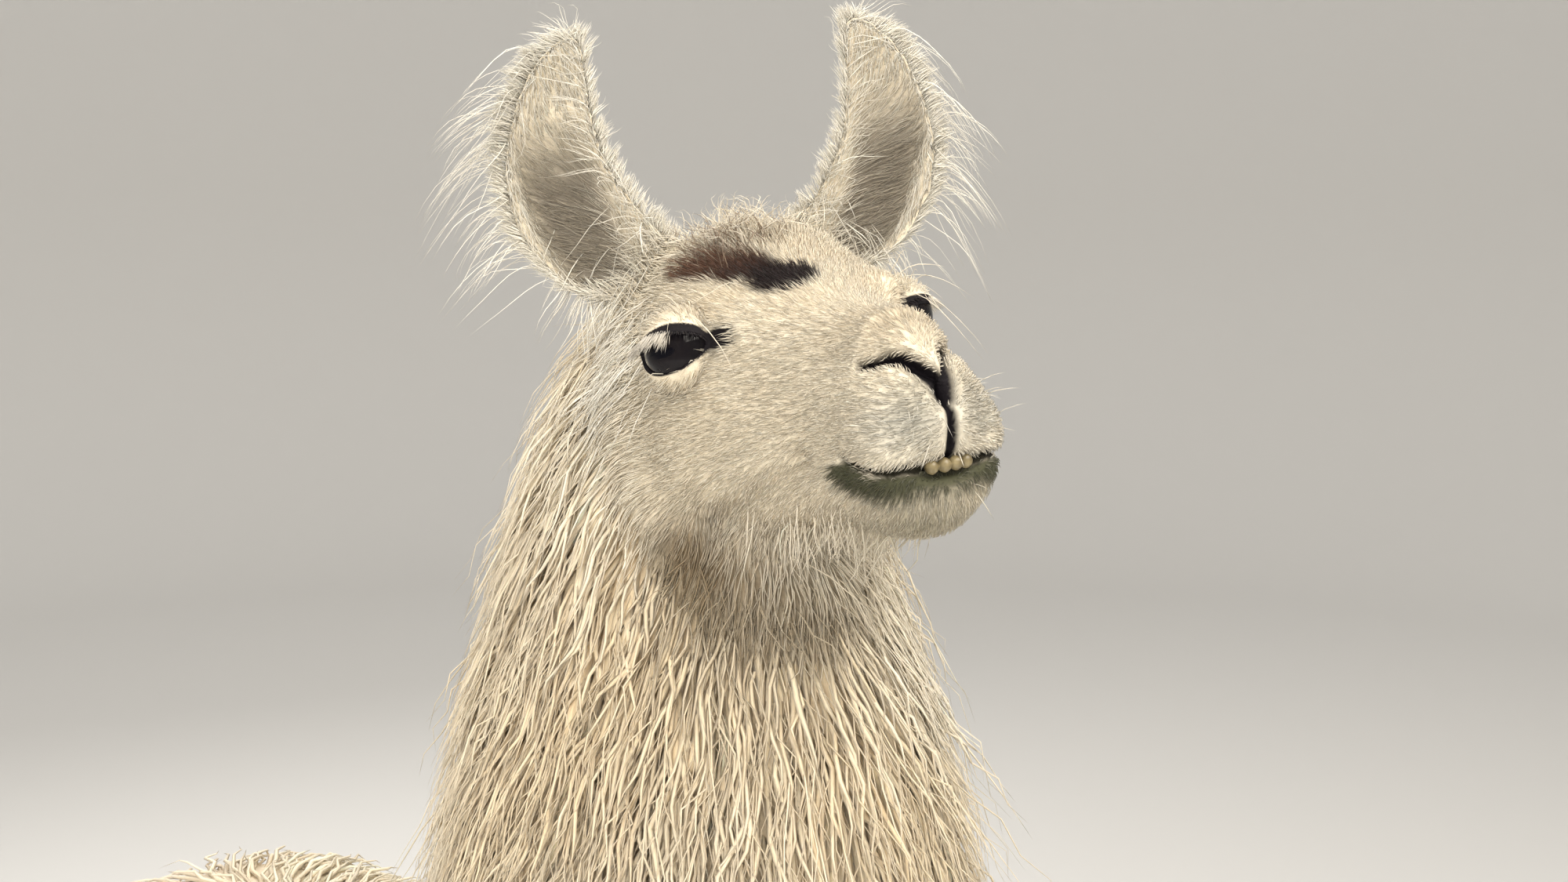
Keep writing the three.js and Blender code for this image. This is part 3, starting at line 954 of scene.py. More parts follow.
# %% Wool finish
def wool_finish(name, root_dark, strands, sheen):
    material, nodes, links = new_material(name)
    shader = nodes["Principled BSDF"]
    uv = named(nodes, "ShaderNodeUVMap", uv_map="lock").outputs["UV"]
    stretch = named(nodes, "ShaderNodeMapping")
    stretch.inputs["Scale"].default_value = (strands, 1.6, 1)
    links.new(uv, stretch.inputs["Vector"])
    strand = named(nodes, "ShaderNodeTexNoise", Scale=1.0, Detail=3.0, Roughness=0.6)
    links.new(stretch.outputs["Vector"], strand.inputs["Vector"])
    along = attribute(nodes, "along").outputs["Fac"]
    shade = range_of(nodes, links, along, 0.0, 0.45, root_dark, 1.0)
    grain = range_of(nodes, links, strand.outputs["Fac"], 0.3, 0.7, 0.78, 1.1)
    color = times(nodes, links, attribute(nodes, "tint").outputs["Color"], shade)
    links.new(times(nodes, links, color, grain), shader.inputs["Base Color"])
    bump = named(nodes, "ShaderNodeBump", Strength=0.8, Distance=0.0008)
    links.new(strand.outputs["Fac"], bump.inputs["Height"])
    links.new(bump.outputs["Normal"], shader.inputs["Normal"])
    shader.inputs["Roughness"].default_value = 0.62
    shader.inputs["Specular IOR Level"].default_value = 0.15
    shader.inputs["Sheen Weight"].default_value = sheen
    shader.inputs["Sheen Roughness"].default_value = 0.45
    shader.inputs["Subsurface Weight"].default_value = 0.3
    shader.inputs["Subsurface Radius"].default_value = (1.0, 0.9, 0.75)
    shader.inputs["Subsurface Scale"].default_value = 0.004
    return material


shaded_felted_skin = skin_finish()
long_wool = wool_finish("long wool", 0.92, 15.0, 0.15)
short_fur = wool_finish("short fur", 0.93, 3.0, 0.05)
skin_piece.data.materials.append(shaded_felted_skin)


# %% Paint on the skin
def store(me, name, kind, values):
    """Gives each point of a mesh a value or a colour that its finish can read."""
    layer = me.attributes.new(name, kind, "POINT")
    field = "color" if kind == "FLOAT_COLOR" else "value"
    layer.data.foreach_set(field, np.ascontiguousarray(values, dtype=np.float32).ravel())


tint = bare_colour(skin, colour_at(skin.points, skin.headness))
store(skin.mesh, "tint", "FLOAT_COLOR", np.column_stack([tint, np.ones(len(tint))]))
print("skin colour, mean:", tint.mean(axis=0).round(2))

# %% [markdown]
# ## Growing locks
# A lock could be a hair curve, but those have no surface of their own, so each is a mesh. It starts
# at a random spot on the skin, its root. Roots are strewn by area, so that small faces on the
# muzzle get no more of them than their size is due.

# %% Roots
skin_tree = tree_of(skin)
skin.mesh.calc_loop_triangles()
TRIANGLES = read_array(skin.mesh.loop_triangles, "vertices", 3, int)
CORNERS = read_array(skin.mesh.loop_triangles, "loops", 3, int)
SKIN_UV = read_array(skin.mesh.uv_layers["OFBake"].data, "uv", 2)
FIRST_CORNER = np.array([f.vertices[0] for f in skin.mesh.polygons])
a, b, c = (skin.points[TRIANGLES[:, k]] for k in range(3))
TRIANGLE_AREA = 0.5 * np.linalg.norm(np.cross(b - a, c - a), axis=1)
print("skin area:", round(TRIANGLE_AREA.sum(), 2), "square metres")


def on_triangles(values):
    return values[TRIANGLES].mean(axis=1)


def take_roots(density):
    """Spots on the skin, `density` per square metre at each point, evenly strewn."""
    expected = np.cumsum(TRIANGLE_AREA * on_triangles(density * (1 - skin.bare)))
    count = int(expected[-1])
    pick = (np.arange(count) + rng.random(count)) * expected[-1] / max(count, 1)
    chosen = np.clip(np.searchsorted(expected, pick), 0, len(TRIANGLES) - 1)
    u, v = rng.random(count), rng.random(count)
    u = np.sqrt(u)
    share_of = np.column_stack([1 - u, u * (1 - v), u * v])

    def at_roots(values):
        corner = values[TRIANGLES[chosen]]
        return (corner * (share_of[:, :, None] if corner.ndim == 3 else share_of)).sum(axis=1)

    uv = (SKIN_UV[CORNERS[chosen]] * share_of[:, :, None]).sum(axis=1)
    return at_roots, uv, count


# %% [markdown]
# ## Combing
# From its root a lock takes a few steps along the lie of the hair, each time coming back to the
# surface, so it follows every curve. Its tip is drawn towards the leader of its clump, because
# greasy wool hangs together, and the path is then lifted off the skin and waved.

# %% Paths along the skin
LIE_KEPT = 0.4  # how much of its direction a lock keeps at each step


def to_skin(points):
    spots, faces = np.empty_like(points), np.empty(len(points), int)
    find = skin_tree.find_nearest
    for i, p in enumerate(points.tolist()):
        spot, _, face, _ = find(p)
        spots[i] = spot
        faces[i] = face
    corner = FIRST_CORNER[faces]
    return spots, skin.normals[corner], skin.lie[corner]


def comb(start, lie, reach, steps, stray):
    """Paths along the skin, one step at a time, with the skin's normal at each stop."""
    n = len(start)
    path, up = np.empty((n, steps + 1, 3)), np.empty((n, steps + 1, 3))
    here = start
    turn = stray * rng.normal(size=(n, 1))
    for k in range(steps + 1):
        spot, normal, way = to_skin(here)
        path[:, k], up[:, k] = spot, normal
        way = unit(way + turn * np.cross(normal, way))
        lie = tangent(LIE_KEPT * lie + (1 - LIE_KEPT) * way, normal)
        here = spot + lie * (reach / steps)[:, None]
    return path, up


# %% Clumps and waves
def clump(path, size, pull):
    """Draws each path towards the nearest leader, more and more to the tip."""
    n = len(path)
    leaders = rng.choice(n, max(1, n // size), replace=False)
    tree = KDTree(len(leaders))
    for k, i in enumerate(leaders):
        tree.insert(path[i, 0], k)
    tree.balance()
    mine = leaders[[tree.find(p)[1] for p in path[:, 0].tolist()]]
    t = np.linspace(0, 1, path.shape[1])[None, :, None]
    return path + pull * t**1.4 * (path[mine] - path)


def lifted(path, up, depth, rise, wave, wavelength, reach):
    """Raises combed paths off the skin and waves them sideways, neighbours in step."""
    n, stops = path.shape[:2]
    t = np.linspace(0, 1, stops)[None, :]
    height = depth[:, None] * rise * (1 - (1 - t) ** 1.7) - 0.0012 * (1 - t) ** 3
    turn = 2 * math.pi * t * (reach / wavelength)[:, None]
    turn = turn + (3.5 * wander(path[:, 0], 0.11) + 0.4 * rng.normal(size=n))[:, None]
    side = unit(np.cross(up, np.gradient(path, axis=1)))
    grow_in = np.minimum(t / 0.3, 1)
    sway = (wave[:, None] * grow_in * np.sin(turn))[:, :, None]
    bob = 0.35 * wave[:, None] * grow_in * np.cos(turn)
    return path + up * (height + bob)[:, :, None] + side * sway

# %% [markdown]
# ## Tubes
# Round each path goes a closed three-sided tube that ends in a point: with soft shading three sides
# are enough to look round. All the tubes of a coat are one mesh, filled from arrays, because
# thousands of small operator calls would be slow. Each keeps a small patch on the skin's map, and
# a map of its own for the strands.

# %% One tube's faces
PATCH = 0.003  # how wide a lock's patch is on the skin's map
STRAND_LENGTH = 0.02  # metres of lock for each turn of the strands' pattern


def tube_triangles(steps):
    return 6 * steps - 2


def tube_pattern(steps):
    """Corners, places round and places along for the triangles of one tube."""
    faces, around = [], []
    for k in range(steps - 1):
        for s in range(3):
            a, b = 3 * k + s, 3 * k + (s + 1) % 3
            c, d = a + 3, b + 3
            faces += [(a, b, d), (a, d, c)]
            around += [(s, s + 1, s + 1), (s, s + 1, s)]
    last = 3 * (steps - 1)
    for s in range(3):
        faces.append((last + s, last + (s + 1) % 3, last + 3))
        around.append((s, s + 1, s + 0.5))
    faces.append((2, 1, 0))  # closes the root
    around.append((2, 1, 0))
    faces, around = np.array(faces), np.array(around) / 3
    along = np.minimum(faces // 3, steps) / steps
    along[-1] = [0.0, 0.12, 0.0]  # keeps its patch on the map from being a line
    return faces, np.stack([around, along], axis=2)


# %% Tubes round many paths
def tube_points(path, up, width, flat):
    """Rings of three points along each path, and one point at its end."""
    steps = path.shape[1] - 1
    t = np.arange(steps) / steps
    ahead = unit(np.gradient(path, axis=1))
    side = unit(np.cross(up, ahead))
    outward = np.cross(ahead, side)
    swell = 0.72 + 0.9 * t - 1.62 * t**2  # a lock thickens a little, then runs to a point
    half = 0.5 * width[:, None] * swell[None, :]
    verts = np.empty((len(path), 3 * steps + 1, 3))
    for s, angle in enumerate((90, 210, 330)):
        x, y = math.cos(math.radians(angle)), math.sin(math.radians(angle))
        ring = path[:, :-1] + half[:, :, None] * (x * side[:, :-1] + y * flat * outward[:, :-1])
        verts[:, s:3 * steps:3] = ring
    verts[:, -1] = path[:, -1]
    verts[:, :, 2] = np.maximum(verts[:, :, 2], 0)  # nothing goes into the floor
    return verts


def tube_mesh(name, path, up, width, flat, uv, tint, reach):
    """All the tubes of a coat as one mesh, with their maps, colours and share along the lock."""
    n, steps = len(path), path.shape[1] - 1
    verts = tube_points(path, up, width, flat)
    faces, spots = tube_pattern(steps)
    corner = (faces[None] + (np.arange(n) * (3 * steps + 1))[:, None, None]).reshape(-1)
    me = bpy.data.meshes.new(name)
    me.vertices.add(verts.shape[0] * verts.shape[1])
    me.vertices.foreach_set("co", verts.astype(np.float32).ravel())
    me.loops.add(len(corner))
    me.loops.foreach_set("vertex_index", corner.astype(np.int32))
    me.polygons.add(len(corner) // 3)
    me.polygons.foreach_set("loop_start", np.arange(0, len(corner), 3, dtype=np.int32))
    me.update(calc_edges=True)
    shade_smooth(me)
    at = np.clip(uv, 0, 1 - PATCH)[:, None, None, :] + spots[None] * PATCH
    me.uv_layers.new(name="OFBake").data.foreach_set("uv", at.astype(np.float32).ravel())
    own = spots[None] * np.stack([np.ones(n), reach / STRAND_LENGTH], 1)[:, None, None, :]
    own = own + np.stack([7.0 * np.arange(n) % 401, np.arange(n) % 97], 1)[:, None, None, :]
    me.uv_layers.new(name="lock").data.foreach_set("uv", own.astype(np.float32).ravel())
    share_along = np.append(np.repeat(np.arange(steps) / steps, 3), 1.0)
    store(me, "along", "FLOAT", np.tile(share_along, n))
    painted = np.column_stack([tint, np.ones(n)])
    store(me, "tint", "FLOAT_COLOR", np.repeat(painted, 3 * steps + 1, axis=0))
    me.uv_layers.active = me.uv_layers["OFBake"]
    return me

# %% [markdown]
# ## Growing a coat
# A coat is grown part by part: short fur on the face, legs and ears, and long wavy wool on the rest.
# The neck has three layers, broad locks close to the skin, the wool itself and fine strands over it,
# so that no gap shows between the locks. A coat too large for one piece is split.

# %% Growing a coat
WAVELENGTH = 0.034  # metres along a lock for each wave
MOST_TRIANGLES = 190_000  # in one piece
coat_triangles = {}


def add_coat(name, me_list, finish, slot="wool"):
    for k, me in enumerate(me_list):
        piece = add_object(f"{name}_{k + 1}" if len(me_list) > 1 else name, me, finish)
        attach(piece, "root")
        coat_triangles[piece.name] = len(me.polygons)


def grow_coat(name, where, steps, overlap, finish, slot="wool", clumps=6, pull=0.4, stray=0.15,
              flat=0.6, rise=(0.45, 1.0), wavelength=WAVELENGTH, mottle=0.09, wide=1.0):
    """`overlap` is how many locks deep the coat is, and `rise` how far tips stand in its depth."""
    density = overlap * where / (skin.length * skin.width * wide / 1e6)
    at_roots, uv, count = take_roots(density)
    root, tint = at_roots(skin.points), at_roots(skin.tint)
    reach = at_roots(skin.length) / 1000 * (0.75 + 0.5 * rng.random(count))
    width = at_roots(skin.width) * wide / 1000 * (0.7 + 0.6 * rng.random(count))
    path, up = comb(root, at_roots(skin.lie), reach, steps, stray)
    path = clump(path, clumps, pull)
    tips = rise[0] + (rise[1] - rise[0]) * rng.random((count, 1))
    wave = at_roots(skin.wave) / 1000 * (0.5 + 0.8 * rng.random(count))
    path = lifted(path, up, at_roots(skin.depth) / 1000, tips, wave, wavelength, reach)
    tone = np.clip(1 + mottle * rng.normal(size=(count, 1)), 0.7, 1.25)
    warm = 1 + 0.015 * rng.normal(size=(count, 1)) * np.array([0, 1, 2])
    tint = np.clip(tint * tone * warm, 0, 1)
    parts = max(1, math.ceil(count * tube_triangles(steps) / MOST_TRIANGLES))
    order = np.array_split(np.arange(count), parts)
    made = [tube_mesh(name, path[i], up[i], width[i], flat, uv[i], tint[i], reach[i]) for i in order]
    add_coat(name, made, finish, slot)
    print(name, "locks:", count, "triangles:", count * tube_triangles(steps))


# %% The coats
on_ear = np.clip(share["ear"], 0, 1)
skin.tint = colour_at(skin.points, skin.headness)
skin.tint = mix(skin.tint, HOLLOW_HAIR, 0.95 * skin.inner_ear)
skin.tint = mix(skin.tint, EAR_WHITE, on_ear * (1 - skin.inner_ear))
long_on_head = ramp(skin.length, 13, 20)
long_on_leg = ramp(skin.length, 22, 32)
hollow = skin.inner_ear * share["ear"]
rim = skin.ear_rim * share["ear"]
grow_fur = partial(grow_coat, finish=short_fur, slot="face_fur")
grow_wool = partial(grow_coat, finish=long_wool)
grow_fur("face_fur", share["head"] * (1 - long_on_head), 2, 2.5, stray=0.16, rise=(0.4, 0.95), pull=0.3,
         mottle=0.04, flat=0.45)
grow_fur("cheek_fur", share["head"] * long_on_head, 4, 3.5, stray=0.2, mottle=0.05)
grow_fur("ear_fur", share["ear"] - hollow - rim * 0.8, 3, 2.25, stray=0.25, rise=(0.6, 1.4), mottle=0.05)
grow_fur("ear_rim", rim, 3, 3.0, stray=0.3, rise=(0.8, 2.6), mottle=0.04, clumps=7)
grow_fur("ear_hollow", hollow, 4, 1.9, stray=0.22, rise=(0.5, 1.6), mottle=0.15, wide=0.7)
grow_wool("neck_underwool", share["neck"], 4, 3.0, rise=(0.1, 0.5), wide=3.2, flat=0.35)
grow_wool("neck_wool", share["neck"], 7, 5.3, wide=1.2, clumps=5, pull=0.3, flat=0.3, wavelength=0.054,
          rise=(0.4, 1.1), mottle=0.05)
grow_wool("trunk_wool", share["trunk"], 5, 2.95)
grow_wool("tail_wool", share["tail"], 6, 7.0)
grow_wool("leg_wool", share["leg"] * long_on_leg, 3, 3.6)
grow_coat("leg_fur", share["leg"] * (1 - long_on_leg), 2, 1.33, short_fur, rise=(0.5, 1.0))

# %% [markdown]
# ## Wisps
# Loose hair stands off the coat: rims and a fringe on each ear, tufts on the poll, thin locks off
# the neck, a beard and a few whiskers. They are the same closed tubes, but each follows a free arc
# that starts one way and droops, instead of the skin.

# %% Free arcs
def arcs(root, way, reach, steps, droop, curl):
    """Paths that leave the skin along `way` and bend down, with a bend of their own."""
    n = len(root)
    t = np.linspace(0, 1, steps + 1)[None, :, None]
    side = unit(np.cross(way, rng.normal(size=(n, 3))))
    far = reach[:, None, None]
    path = root[:, None] + way[:, None] * far * t + np.array([0, 0, -1.0]) * droop * far * t**2
    path += side[:, None] * curl * far * (t**2 - 0.35 * np.sin(2.2 * math.pi * t) * t)
    start = np.broadcast_to(side[:, None], path.shape)
    return path, start


# %% Growing wisps
WISP_CLUMP = 0.55  # how far wisps of one clump are drawn together


def grow_wisps(name, where, per_area, steps, reach, width, way, droop, curl, finish, slot="wool",
               jitter=0.25, tint=None, wavy=0.0, flat=0.8, clumps=1):
    """`reach` and `width` are in mm; `way` is a direction for each skin point."""
    at_roots, uv, count = take_roots(where * per_area)
    root = at_roots(skin.points) - at_roots(skin.normals) * 0.0008
    length = reach / 1000 * (0.6 + 0.8 * rng.random(count))
    heading = unit(unit(at_roots(way)) + jitter * rng.normal(size=(count, 3)))
    path, up = arcs(root, heading, length, steps, droop, curl)
    if clumps > 1:
        path = clump(path, clumps, WISP_CLUMP)
    if wavy:
        t = np.linspace(0, 1, steps + 1)[None, :]
        waves = (length / WAVELENGTH)[:, None]
        swing = wavy / 1000 * np.sin(2 * math.pi * t * waves + 6 * rng.random((count, 1)))
        path = path + up * (swing * np.minimum(t / 0.3, 1))[:, :, None]
    thick = width / 1000 * (0.7 + 0.6 * rng.random(count))
    base = at_roots(skin.tint) if tint is None else np.tile(tint, (count, 1))
    base = np.clip(base * (1 + 0.06 * rng.normal(size=(count, 1))), 0, 1)
    add_coat(name, [tube_mesh(name, path, up, thick, flat, uv, base, length)], finish, slot)
    print(name, "wisps:", count, "triangles:", count * tube_triangles(steps))


fur_wisps = partial(grow_wisps, finish=short_fur, slot="face_fur")
wool_wisps = partial(grow_wisps, finish=long_wool)

# %% Ears
HEAD_X, HEAD_Y, HEAD_Z = HEAD_AXES.T
q = in_head(skin.points)
away = np.sign(q[:, :1]) * HEAD_X  # from the middle of the head to each side
outer_rim = skin.ear_rim * ramp(skin.across, 2, 10)
inner_rim = skin.ear_rim * ramp(-skin.across, 2, 10)
tip_rim = on_ear * ramp(q[:, 2], 165, 190) * ramp(skin.normals @ HEAD_Z, -0.1, 0.5)
fur_wisps("ear_rim_outer", outer_rim, 2400000, 4, 15, 0.95, 0.9 * away + 0.6 * HEAD_Z - 0.2 * HEAD_Y,
          0.15, 0.1, jitter=0.2, clumps=6)
fur_wisps("ear_rim_inner", inner_rim, 1700000, 4, 14, 0.9, HEAD_Z - 0.55 * away - 0.3 * HEAD_Y,
          0.05, 0.1, jitter=0.2, clumps=6)
fur_wisps("ear_tip", tip_rim, 1000000, 4, 17, 1.0, 0.6 * skin.normals + 0.1 * HEAD_Z + 0.7 * away,
          0.2, 0.12, jitter=0.2, clumps=6)
fringe = outer_rim * ramp(q[:, 2], 35, 80) * ramp(wander(skin.points, 0.07), -0.7, 0.4)
fur_wisps("ear_fringe", fringe, 480000, 7, 46, 0.75, away + 0.35 * HEAD_Z + 0.1 * HEAD_Y,
          0.9, 0.3, jitter=0.42, clumps=9)
fur_wisps("ear_cross", inner_rim, 300000, 6, 36, 0.7, 0.8 * away + 0.7 * HEAD_Z - 0.3 * HEAD_Y,
          0.3, 0.25, jitter=0.3, clumps=3)
ear_root = blob(q, (90, 84, 14), (22, 26, 34), mirrored=True)
fur_wisps("ear_root_tuft", ear_root, 170000, 5, 34, 1.0, 0.7 * away - 0.75 * HEAD_Z + 0.2 * skin.normals,
          0.25, 0.15, clumps=7, tint=EAR_WHITE)

# %% Poll
poll = blob(q, (0, 62, 78), (42, 30, 22)) * skin.headness
fur_wisps("poll_tuft", poll, 170000, 5, 33, 0.9, skin.normals + 0.2 * HEAD_Z - 0.25 * HEAD_Y,
          0.35, 0.35, jitter=0.4, clumps=6)
brown_top = blob(q, (-26, 26, 52), (34, 18, 12)) * skin.headness
fur_wisps("brown_wisps", brown_top, 90000, 5, 26, 0.7, skin.normals * 0.6 + 0.5 * HEAD_Y + 0.5 * HEAD_Z,
          0.25, 0.35, jitter=0.35, tint=BROWN_HAIR, clumps=5)

# %% Neck
high = ramp(skin.points[:, 2], 0.95, 1.1)
throat = ramp(skin.normals @ np.array([0.0, -1.0, 0.0]), -0.2, 0.6) * share["neck"] * high
nape = ramp(skin.normals @ np.array([-0.64, 0.77, 0.0]), 0.2, 0.7) * share["neck"] * high
grow_wool("neck_strands", share["neck"] * high, 7, 0.95, wide=0.3, pull=0.3, flat=0.8, wavelength=0.05,
          rise=(0.9, 1.25), mottle=0.05, stray=0.2)
wool_wisps("neck_wisps", share["neck"] * high, 900, 7, 90, 1.1, skin.lie + 0.3 * skin.normals,
           0.3, 0.1, jitter=0.07, wavy=4.0)
wool_wisps("neck_loose", throat, 5200, 7, 105, 2.0, skin.lie + 0.42 * skin.normals,
           0.25, 0.12, jitter=0.09, wavy=5.0, clumps=4)
wool_wisps("nape_loose", nape, 3600, 7, 85, 2.0, skin.lie + 0.36 * skin.normals,
           0.25, 0.12, jitter=0.09, wavy=4.0, clumps=4)

# %% Whiskers and beard
lobes = blob(q, (18, -180, -70), (20, 20, 18), mirrored=True) * skin.headness * (1 - skin.bare)
fur_wisps("lip_whiskers", lobes, 20000, 3, 17, 0.7, skin.normals - 0.3 * HEAD_Y, 0.2, 0.05)
brow_spot = blob(q, (70, -22, 14), (12, 12, 10), mirrored=True)
fur_wisps("brow_whiskers", brow_spot, 40000, 6, 56, 0.8, skin.normals * 0.6 - HEAD_Y * 0.7, 0.5, 0.12,
          jitter=0.3)
beard = ramp(-q[:, 2], 92, 128) * ramp(q[:, 1], -128, -92) * ramp(-q[:, 1], -40, -5) * skin.headness
fur_wisps("beard", beard, 45000, 5, 34, 1.1, skin.lie - 0.45 * HEAD_Z, 0.3, 0.12, jitter=0.22, wavy=1.5,
          clumps=5)
jaw = ramp(-q[:, 2], 118, 150) * ramp(q[:, 1], -80, -20) * skin.headness
fur_wisps("jaw_wisps", jaw, 16000, 5, 44, 1.2, skin.lie * 0.9 + 0.45 * skin.normals, 0.3, 0.15,
          jitter=0.3, wavy=2.0)

# %% [markdown]
# ## Lashes
# A llama's lashes hang over the eye like a curtain. They stand in rows on the edge of the upper lid,
# pale behind and dark in front, and point out and down. They are placed by angles round the ball,
# so they follow the lid's own edge.

# %% Lashes
LASH_STEPS = 4


def lashes(name, yaws, edge, reach, width, heading, tint, rows):
    """Rows of lashes along the edge of the upper lid, for both eyes."""
    yaws = np.tile(np.repeat(yaws, rows), 2) + rng.normal(size=2 * rows * len(yaws)) * 1.5
    n = len(yaws)
    side = np.repeat([1, -1], n // 2)[:, None]
    lid = lid_edge(yaws, OPENING["upper"], UPPER_ARCH)
    rise = np.radians(lid + edge + rng.random(n) * 2.5 * (rows - 1))
    turn = np.radians(yaws)
    level = np.cos(turn)[:, None] * GAZE_OUT + np.sin(turn)[:, None] * GAZE_AHEAD
    back, up = np.array([0, 1.0, 0]), np.array([0, 0, 1.0])
    flip = np.column_stack([side, np.ones((n, 2))])
    root = EYE_CENTRE + (EYE_RADIUS + 2.6) * (level * np.cos(rise)[:, None] + up * np.sin(rise)[:, None])
    way = heading[0] * level + heading[1] * up + heading[2] * back + 0.1 * rng.normal(size=root.shape)
    length = reach / 1000 * (0.75 + 0.5 * rng.random(n))
    way = unit(way * flip) @ HEAD_AXES.T
    path, around = arcs(from_head(root * flip), way, length, LASH_STEPS, -0.05, 0.06)
    color = np.clip(np.tile(tint, (n, 1)) * (1 + 0.08 * rng.normal(size=(n, 1))), 0, 1)
    uv = 0.2 + 0.6 * rng.random((n, 2))
    made = tube_mesh(name, path, around, np.full(n, width / 1000), 0.8, uv, color, length)
    add_coat(name, [made], short_fur, "face_fur")


lashes("pale_lashes", np.linspace(-52, 16, 50), 0, 12, 0.75, (0.7, -0.75, 0.25), LASH_PALE, rows=3)
lashes("dark_lashes", np.linspace(16, 58, 18), 1, 6, 0.9, (1.0, -0.5, -0.1), LASH_DARK, rows=2)
print("coat triangles:", sum(coat_triangles.values()), "most in one:", max(coat_triangles.values()))

# %% [markdown]
# ## Eyes
# An eyeball is one closed ball with a slight dome over the iris. Its map gives each point its
# place round the line of sight, so the dark iris and the level slot of the pupil can be drawn by
# simple arithmetic: a place is inside an oval where the squares of its two shares add up to less
# than one.

# %% Helpers for the eye's finish
COLOR_A, COLOR_B, COLOR_OUT = 6, 7, 2  # the Mix node's colour sockets, which share their names


def oval(nodes, links, across, rise, size):
    """Less than 1 inside an oval of the given half sizes."""
    terms = []
    for value, half in zip((across, rise), size):
        scaled = named(nodes, "ShaderNodeMath", operation="DIVIDE")
        links.new(value, scaled.inputs[0])
        scaled.inputs[1].default_value = half
        square = named(nodes, "ShaderNodeMath", operation="MULTIPLY")
        links.new(scaled.outputs[0], square.inputs[0])
        links.new(scaled.outputs[0], square.inputs[1])
        terms.append(square.outputs[0])
    total = named(nodes, "ShaderNodeMath", operation="ADD")
    for term, socket in zip(terms, total.inputs):
        links.new(term, socket)
    return total.outputs[0]


def mixed(nodes, links, first, second, factor):
    """One colour turning into another: each is a plain colour or another node's output."""
    node = named(nodes, "ShaderNodeMix", data_type="RGBA")
    for socket, value in ((node.inputs[COLOR_A], first), (node.inputs[COLOR_B], second)):
        if isinstance(value, tuple):
            socket.default_value = (*value, 1)
        else:
            links.new(value, socket)
    links.new(factor, node.inputs[0])
    return node.outputs[COLOR_OUT]


# %% Eye finish
IRIS_LOW, IRIS_HIGH = (0.003, 0.003, 0.005), (0.011, 0.008, 0.008)
PUPIL_BLACK = (0.001, 0.001, 0.003)
RIM_DARK = (0.006, 0.005, 0.006)
PUPIL_SIZE, IRIS_SIZE = (0.34, 0.13), (0.62, 0.62)


def eye_finish():
    material, nodes, links = new_material("dark eye")
    shader = nodes["Principled BSDF"]
    uv = named(nodes, "ShaderNodeUVMap", uv_map="gaze").outputs["UV"]
    split = nodes.new("ShaderNodeSeparateXYZ")
    links.new(uv, split.inputs[0])
    across = range_of(nodes, links, split.outputs["X"], 0.0, 1.0, -1.0, 1.0)
    rise = range_of(nodes, links, split.outputs["Y"], 0.0, 1.0, -1.0, 1.0)
    rays = named(nodes, "ShaderNodeTexNoise", Scale=16.0, Detail=4.0)
    links.new(uv, rays.inputs["Vector"])
    in_pupil = oval(nodes, links, across, rise, PUPIL_SIZE)
    in_iris = oval(nodes, links, across, rise, IRIS_SIZE)
    iris = mixed(nodes, links, IRIS_LOW, IRIS_HIGH, rays.outputs["Fac"])
    pupil_edge = range_of(nodes, links, in_pupil, 0.75, 1.25, 0, 1)
    pupil = mixed(nodes, links, PUPIL_BLACK, iris, pupil_edge)
    iris_edge = range_of(nodes, links, in_iris, 0.85, 1.2, 0, 1)
    links.new(mixed(nodes, links, pupil, RIM_DARK, iris_edge), shader.inputs["Base Color"])
    shader.inputs["Roughness"].default_value = 0.07
    shader.inputs["Specular IOR Level"].default_value = 0.18
    return material


# %% Eyeballs
DOME_RISE, DOME_FROM = 0.045, 0.72  # how far the dome stands out, and where it starts
BACK_OF_EYE = (0.98, 0.98)  # one dark place on the map for the whole back of the ball


def eyeball(node, side):
    bm = bmesh.new()
    bmesh.ops.create_uvsphere(bm, u_segments=64, v_segments=40, radius=EYE_RADIUS)
    out, ahead = GAZE_OUT * [side, 1, 1], GAZE_AHEAD * [side, 1, 1]
    up = np.cross(out, ahead) * side
    places = np.array([v.co for v in bm.verts])  # Z is the line of sight
    dome = 1 + DOME_RISE * ramp(places[:, 2] / EYE_RADIUS, DOME_FROM, 1.0)
    spots = (places[:, :1] * ahead + places[:, 1:2] * up + places[:, 2:] * out) * dome[:, None]
    spots = from_head(EYE_CENTRE * [side, 1, 1] + spots)
    for v, p in zip(bm.verts, spots.tolist()):
        v.co = p
    bmesh.ops.recalc_face_normals(bm, faces=bm.faces)
    gaze = bm.loops.layers.uv.new("gaze")
    for f in bm.faces:
        f.smooth = True
        for loop in f.loops:
            x, y, z = places[loop.vert.index] / EYE_RADIUS
            loop[gaze].uv = (0.5 + 0.5 * x, 0.5 + 0.5 * y) if z >= 0 else BACK_OF_EYE
    me = bpy.data.meshes.new(node + " ball")
    bm.to_mesh(me)
    bm.free()
    piece = add_object(node + "_ball", me, dark_eye)
    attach(piece, "root")
    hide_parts(node)
    print(piece.name, "faces:", len(me.polygons))


dark_eye = eye_finish()
for node, side in (("eye_left", 1), ("eye_right", -1)):
    eyeball(node, side)


# %% [markdown]
# ## Teeth and nails
# Both are hard and worn smooth, so they start as copies of the plain solids and are only rounded:
# each round halves every edge and lets the corners sink in. A nail's lowest points stay where they
# are, so that it still stands flat on the floor.

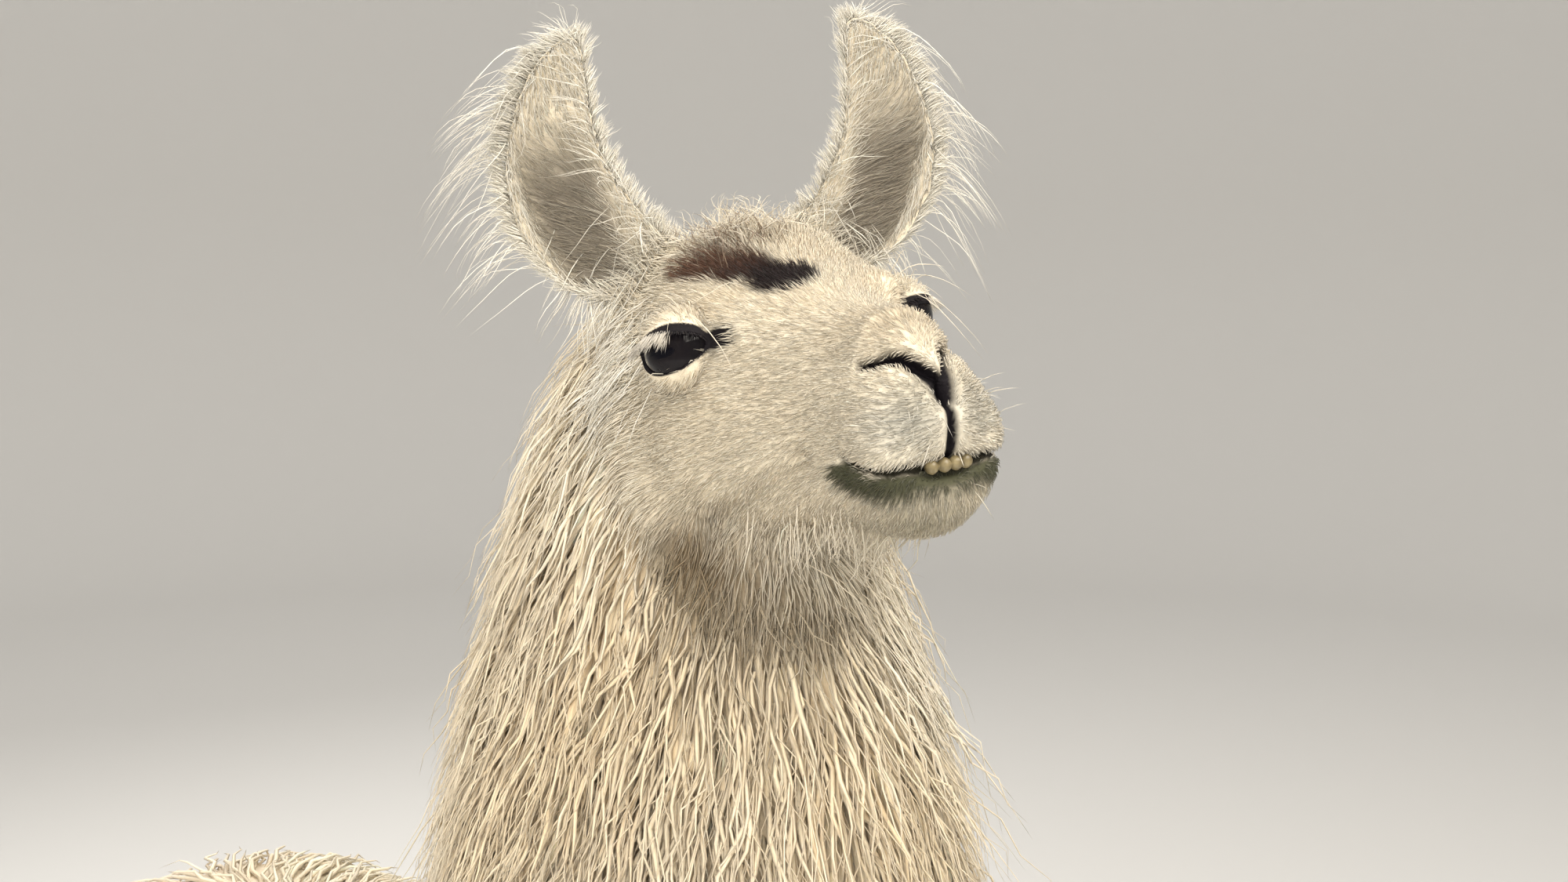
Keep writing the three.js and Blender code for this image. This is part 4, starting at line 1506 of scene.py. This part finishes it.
# %% Horn and enamel
def plain_finish(name, low, high, scale, stretch, roughness, bump=0.3):
    material, nodes, links = new_material(name)
    shader = nodes["Principled BSDF"]
    place = nodes.new("ShaderNodeTexCoord").outputs["Object"]
    sized = named(nodes, "ShaderNodeMapping")
    sized.inputs["Scale"].default_value = stretch
    links.new(place, sized.inputs["Vector"])
    noise = named(nodes, "ShaderNodeTexNoise", Scale=scale, Detail=4.0)
    links.new(sized.outputs["Vector"], noise.inputs["Vector"])
    blend = nodes.new("ShaderNodeValToRGB")
    for stop, place, color in zip(blend.color_ramp.elements, (0.3, 0.7), (low, high)):
        stop.position = place
        stop.color = (*color, 1)
    links.new(noise.outputs["Fac"], blend.inputs["Fac"])
    links.new(blend.outputs["Color"], shader.inputs["Base Color"])
    relief = named(nodes, "ShaderNodeBump", Strength=bump, Distance=0.0006)
    links.new(noise.outputs["Fac"], relief.inputs["Height"])
    links.new(relief.outputs["Normal"], shader.inputs["Normal"])
    shader.inputs["Roughness"].default_value = roughness
    return material


# %% Rounded copies
ROUNDS = 2
ON_FLOOR = 0.0008  # points no higher than this stay on the floor


def rounded_copy(node, finish):
    bm = bmesh.new()
    bm.from_mesh(bpy.data.objects[node].data)
    bmesh.ops.remove_doubles(bm, verts=bm.verts, dist=WELD)
    for _ in range(ROUNDS):
        bmesh.ops.subdivide_edges(bm, edges=bm.edges, cuts=1, use_grid_fill=True)
        soften(bm, [v for v in bm.verts if v.co.z > ON_FLOOR])
    me = bpy.data.meshes.new(node + " rounded")
    bm.to_mesh(me)
    bm.free()
    shade_smooth(me)
    piece = add_object(node + "_rounded", me, finish)
    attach(piece, "root")
    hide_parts(node)
    print(piece.name, "faces:", len(me.polygons))


horn = plain_finish("nail horn", (0.045, 0.036, 0.028), (0.12, 0.095, 0.07), 90.0, (1, 1, 5), 0.45)
# the teeth are yellowish; their dark colours are painted shade, deep in the mouth
enamel_in_painted_shade = plain_finish("tooth enamel", (0.08, 0.06, 0.028), (0.28, 0.225, 0.12), 160.0, (1, 1, 1), 0.3, 0.1)
for node in [o.name for o in bpy.data.objects if o.name.startswith("nail_")]:
    rounded_copy(node, horn)
rounded_copy("teeth_lower", enamel_in_painted_shade)
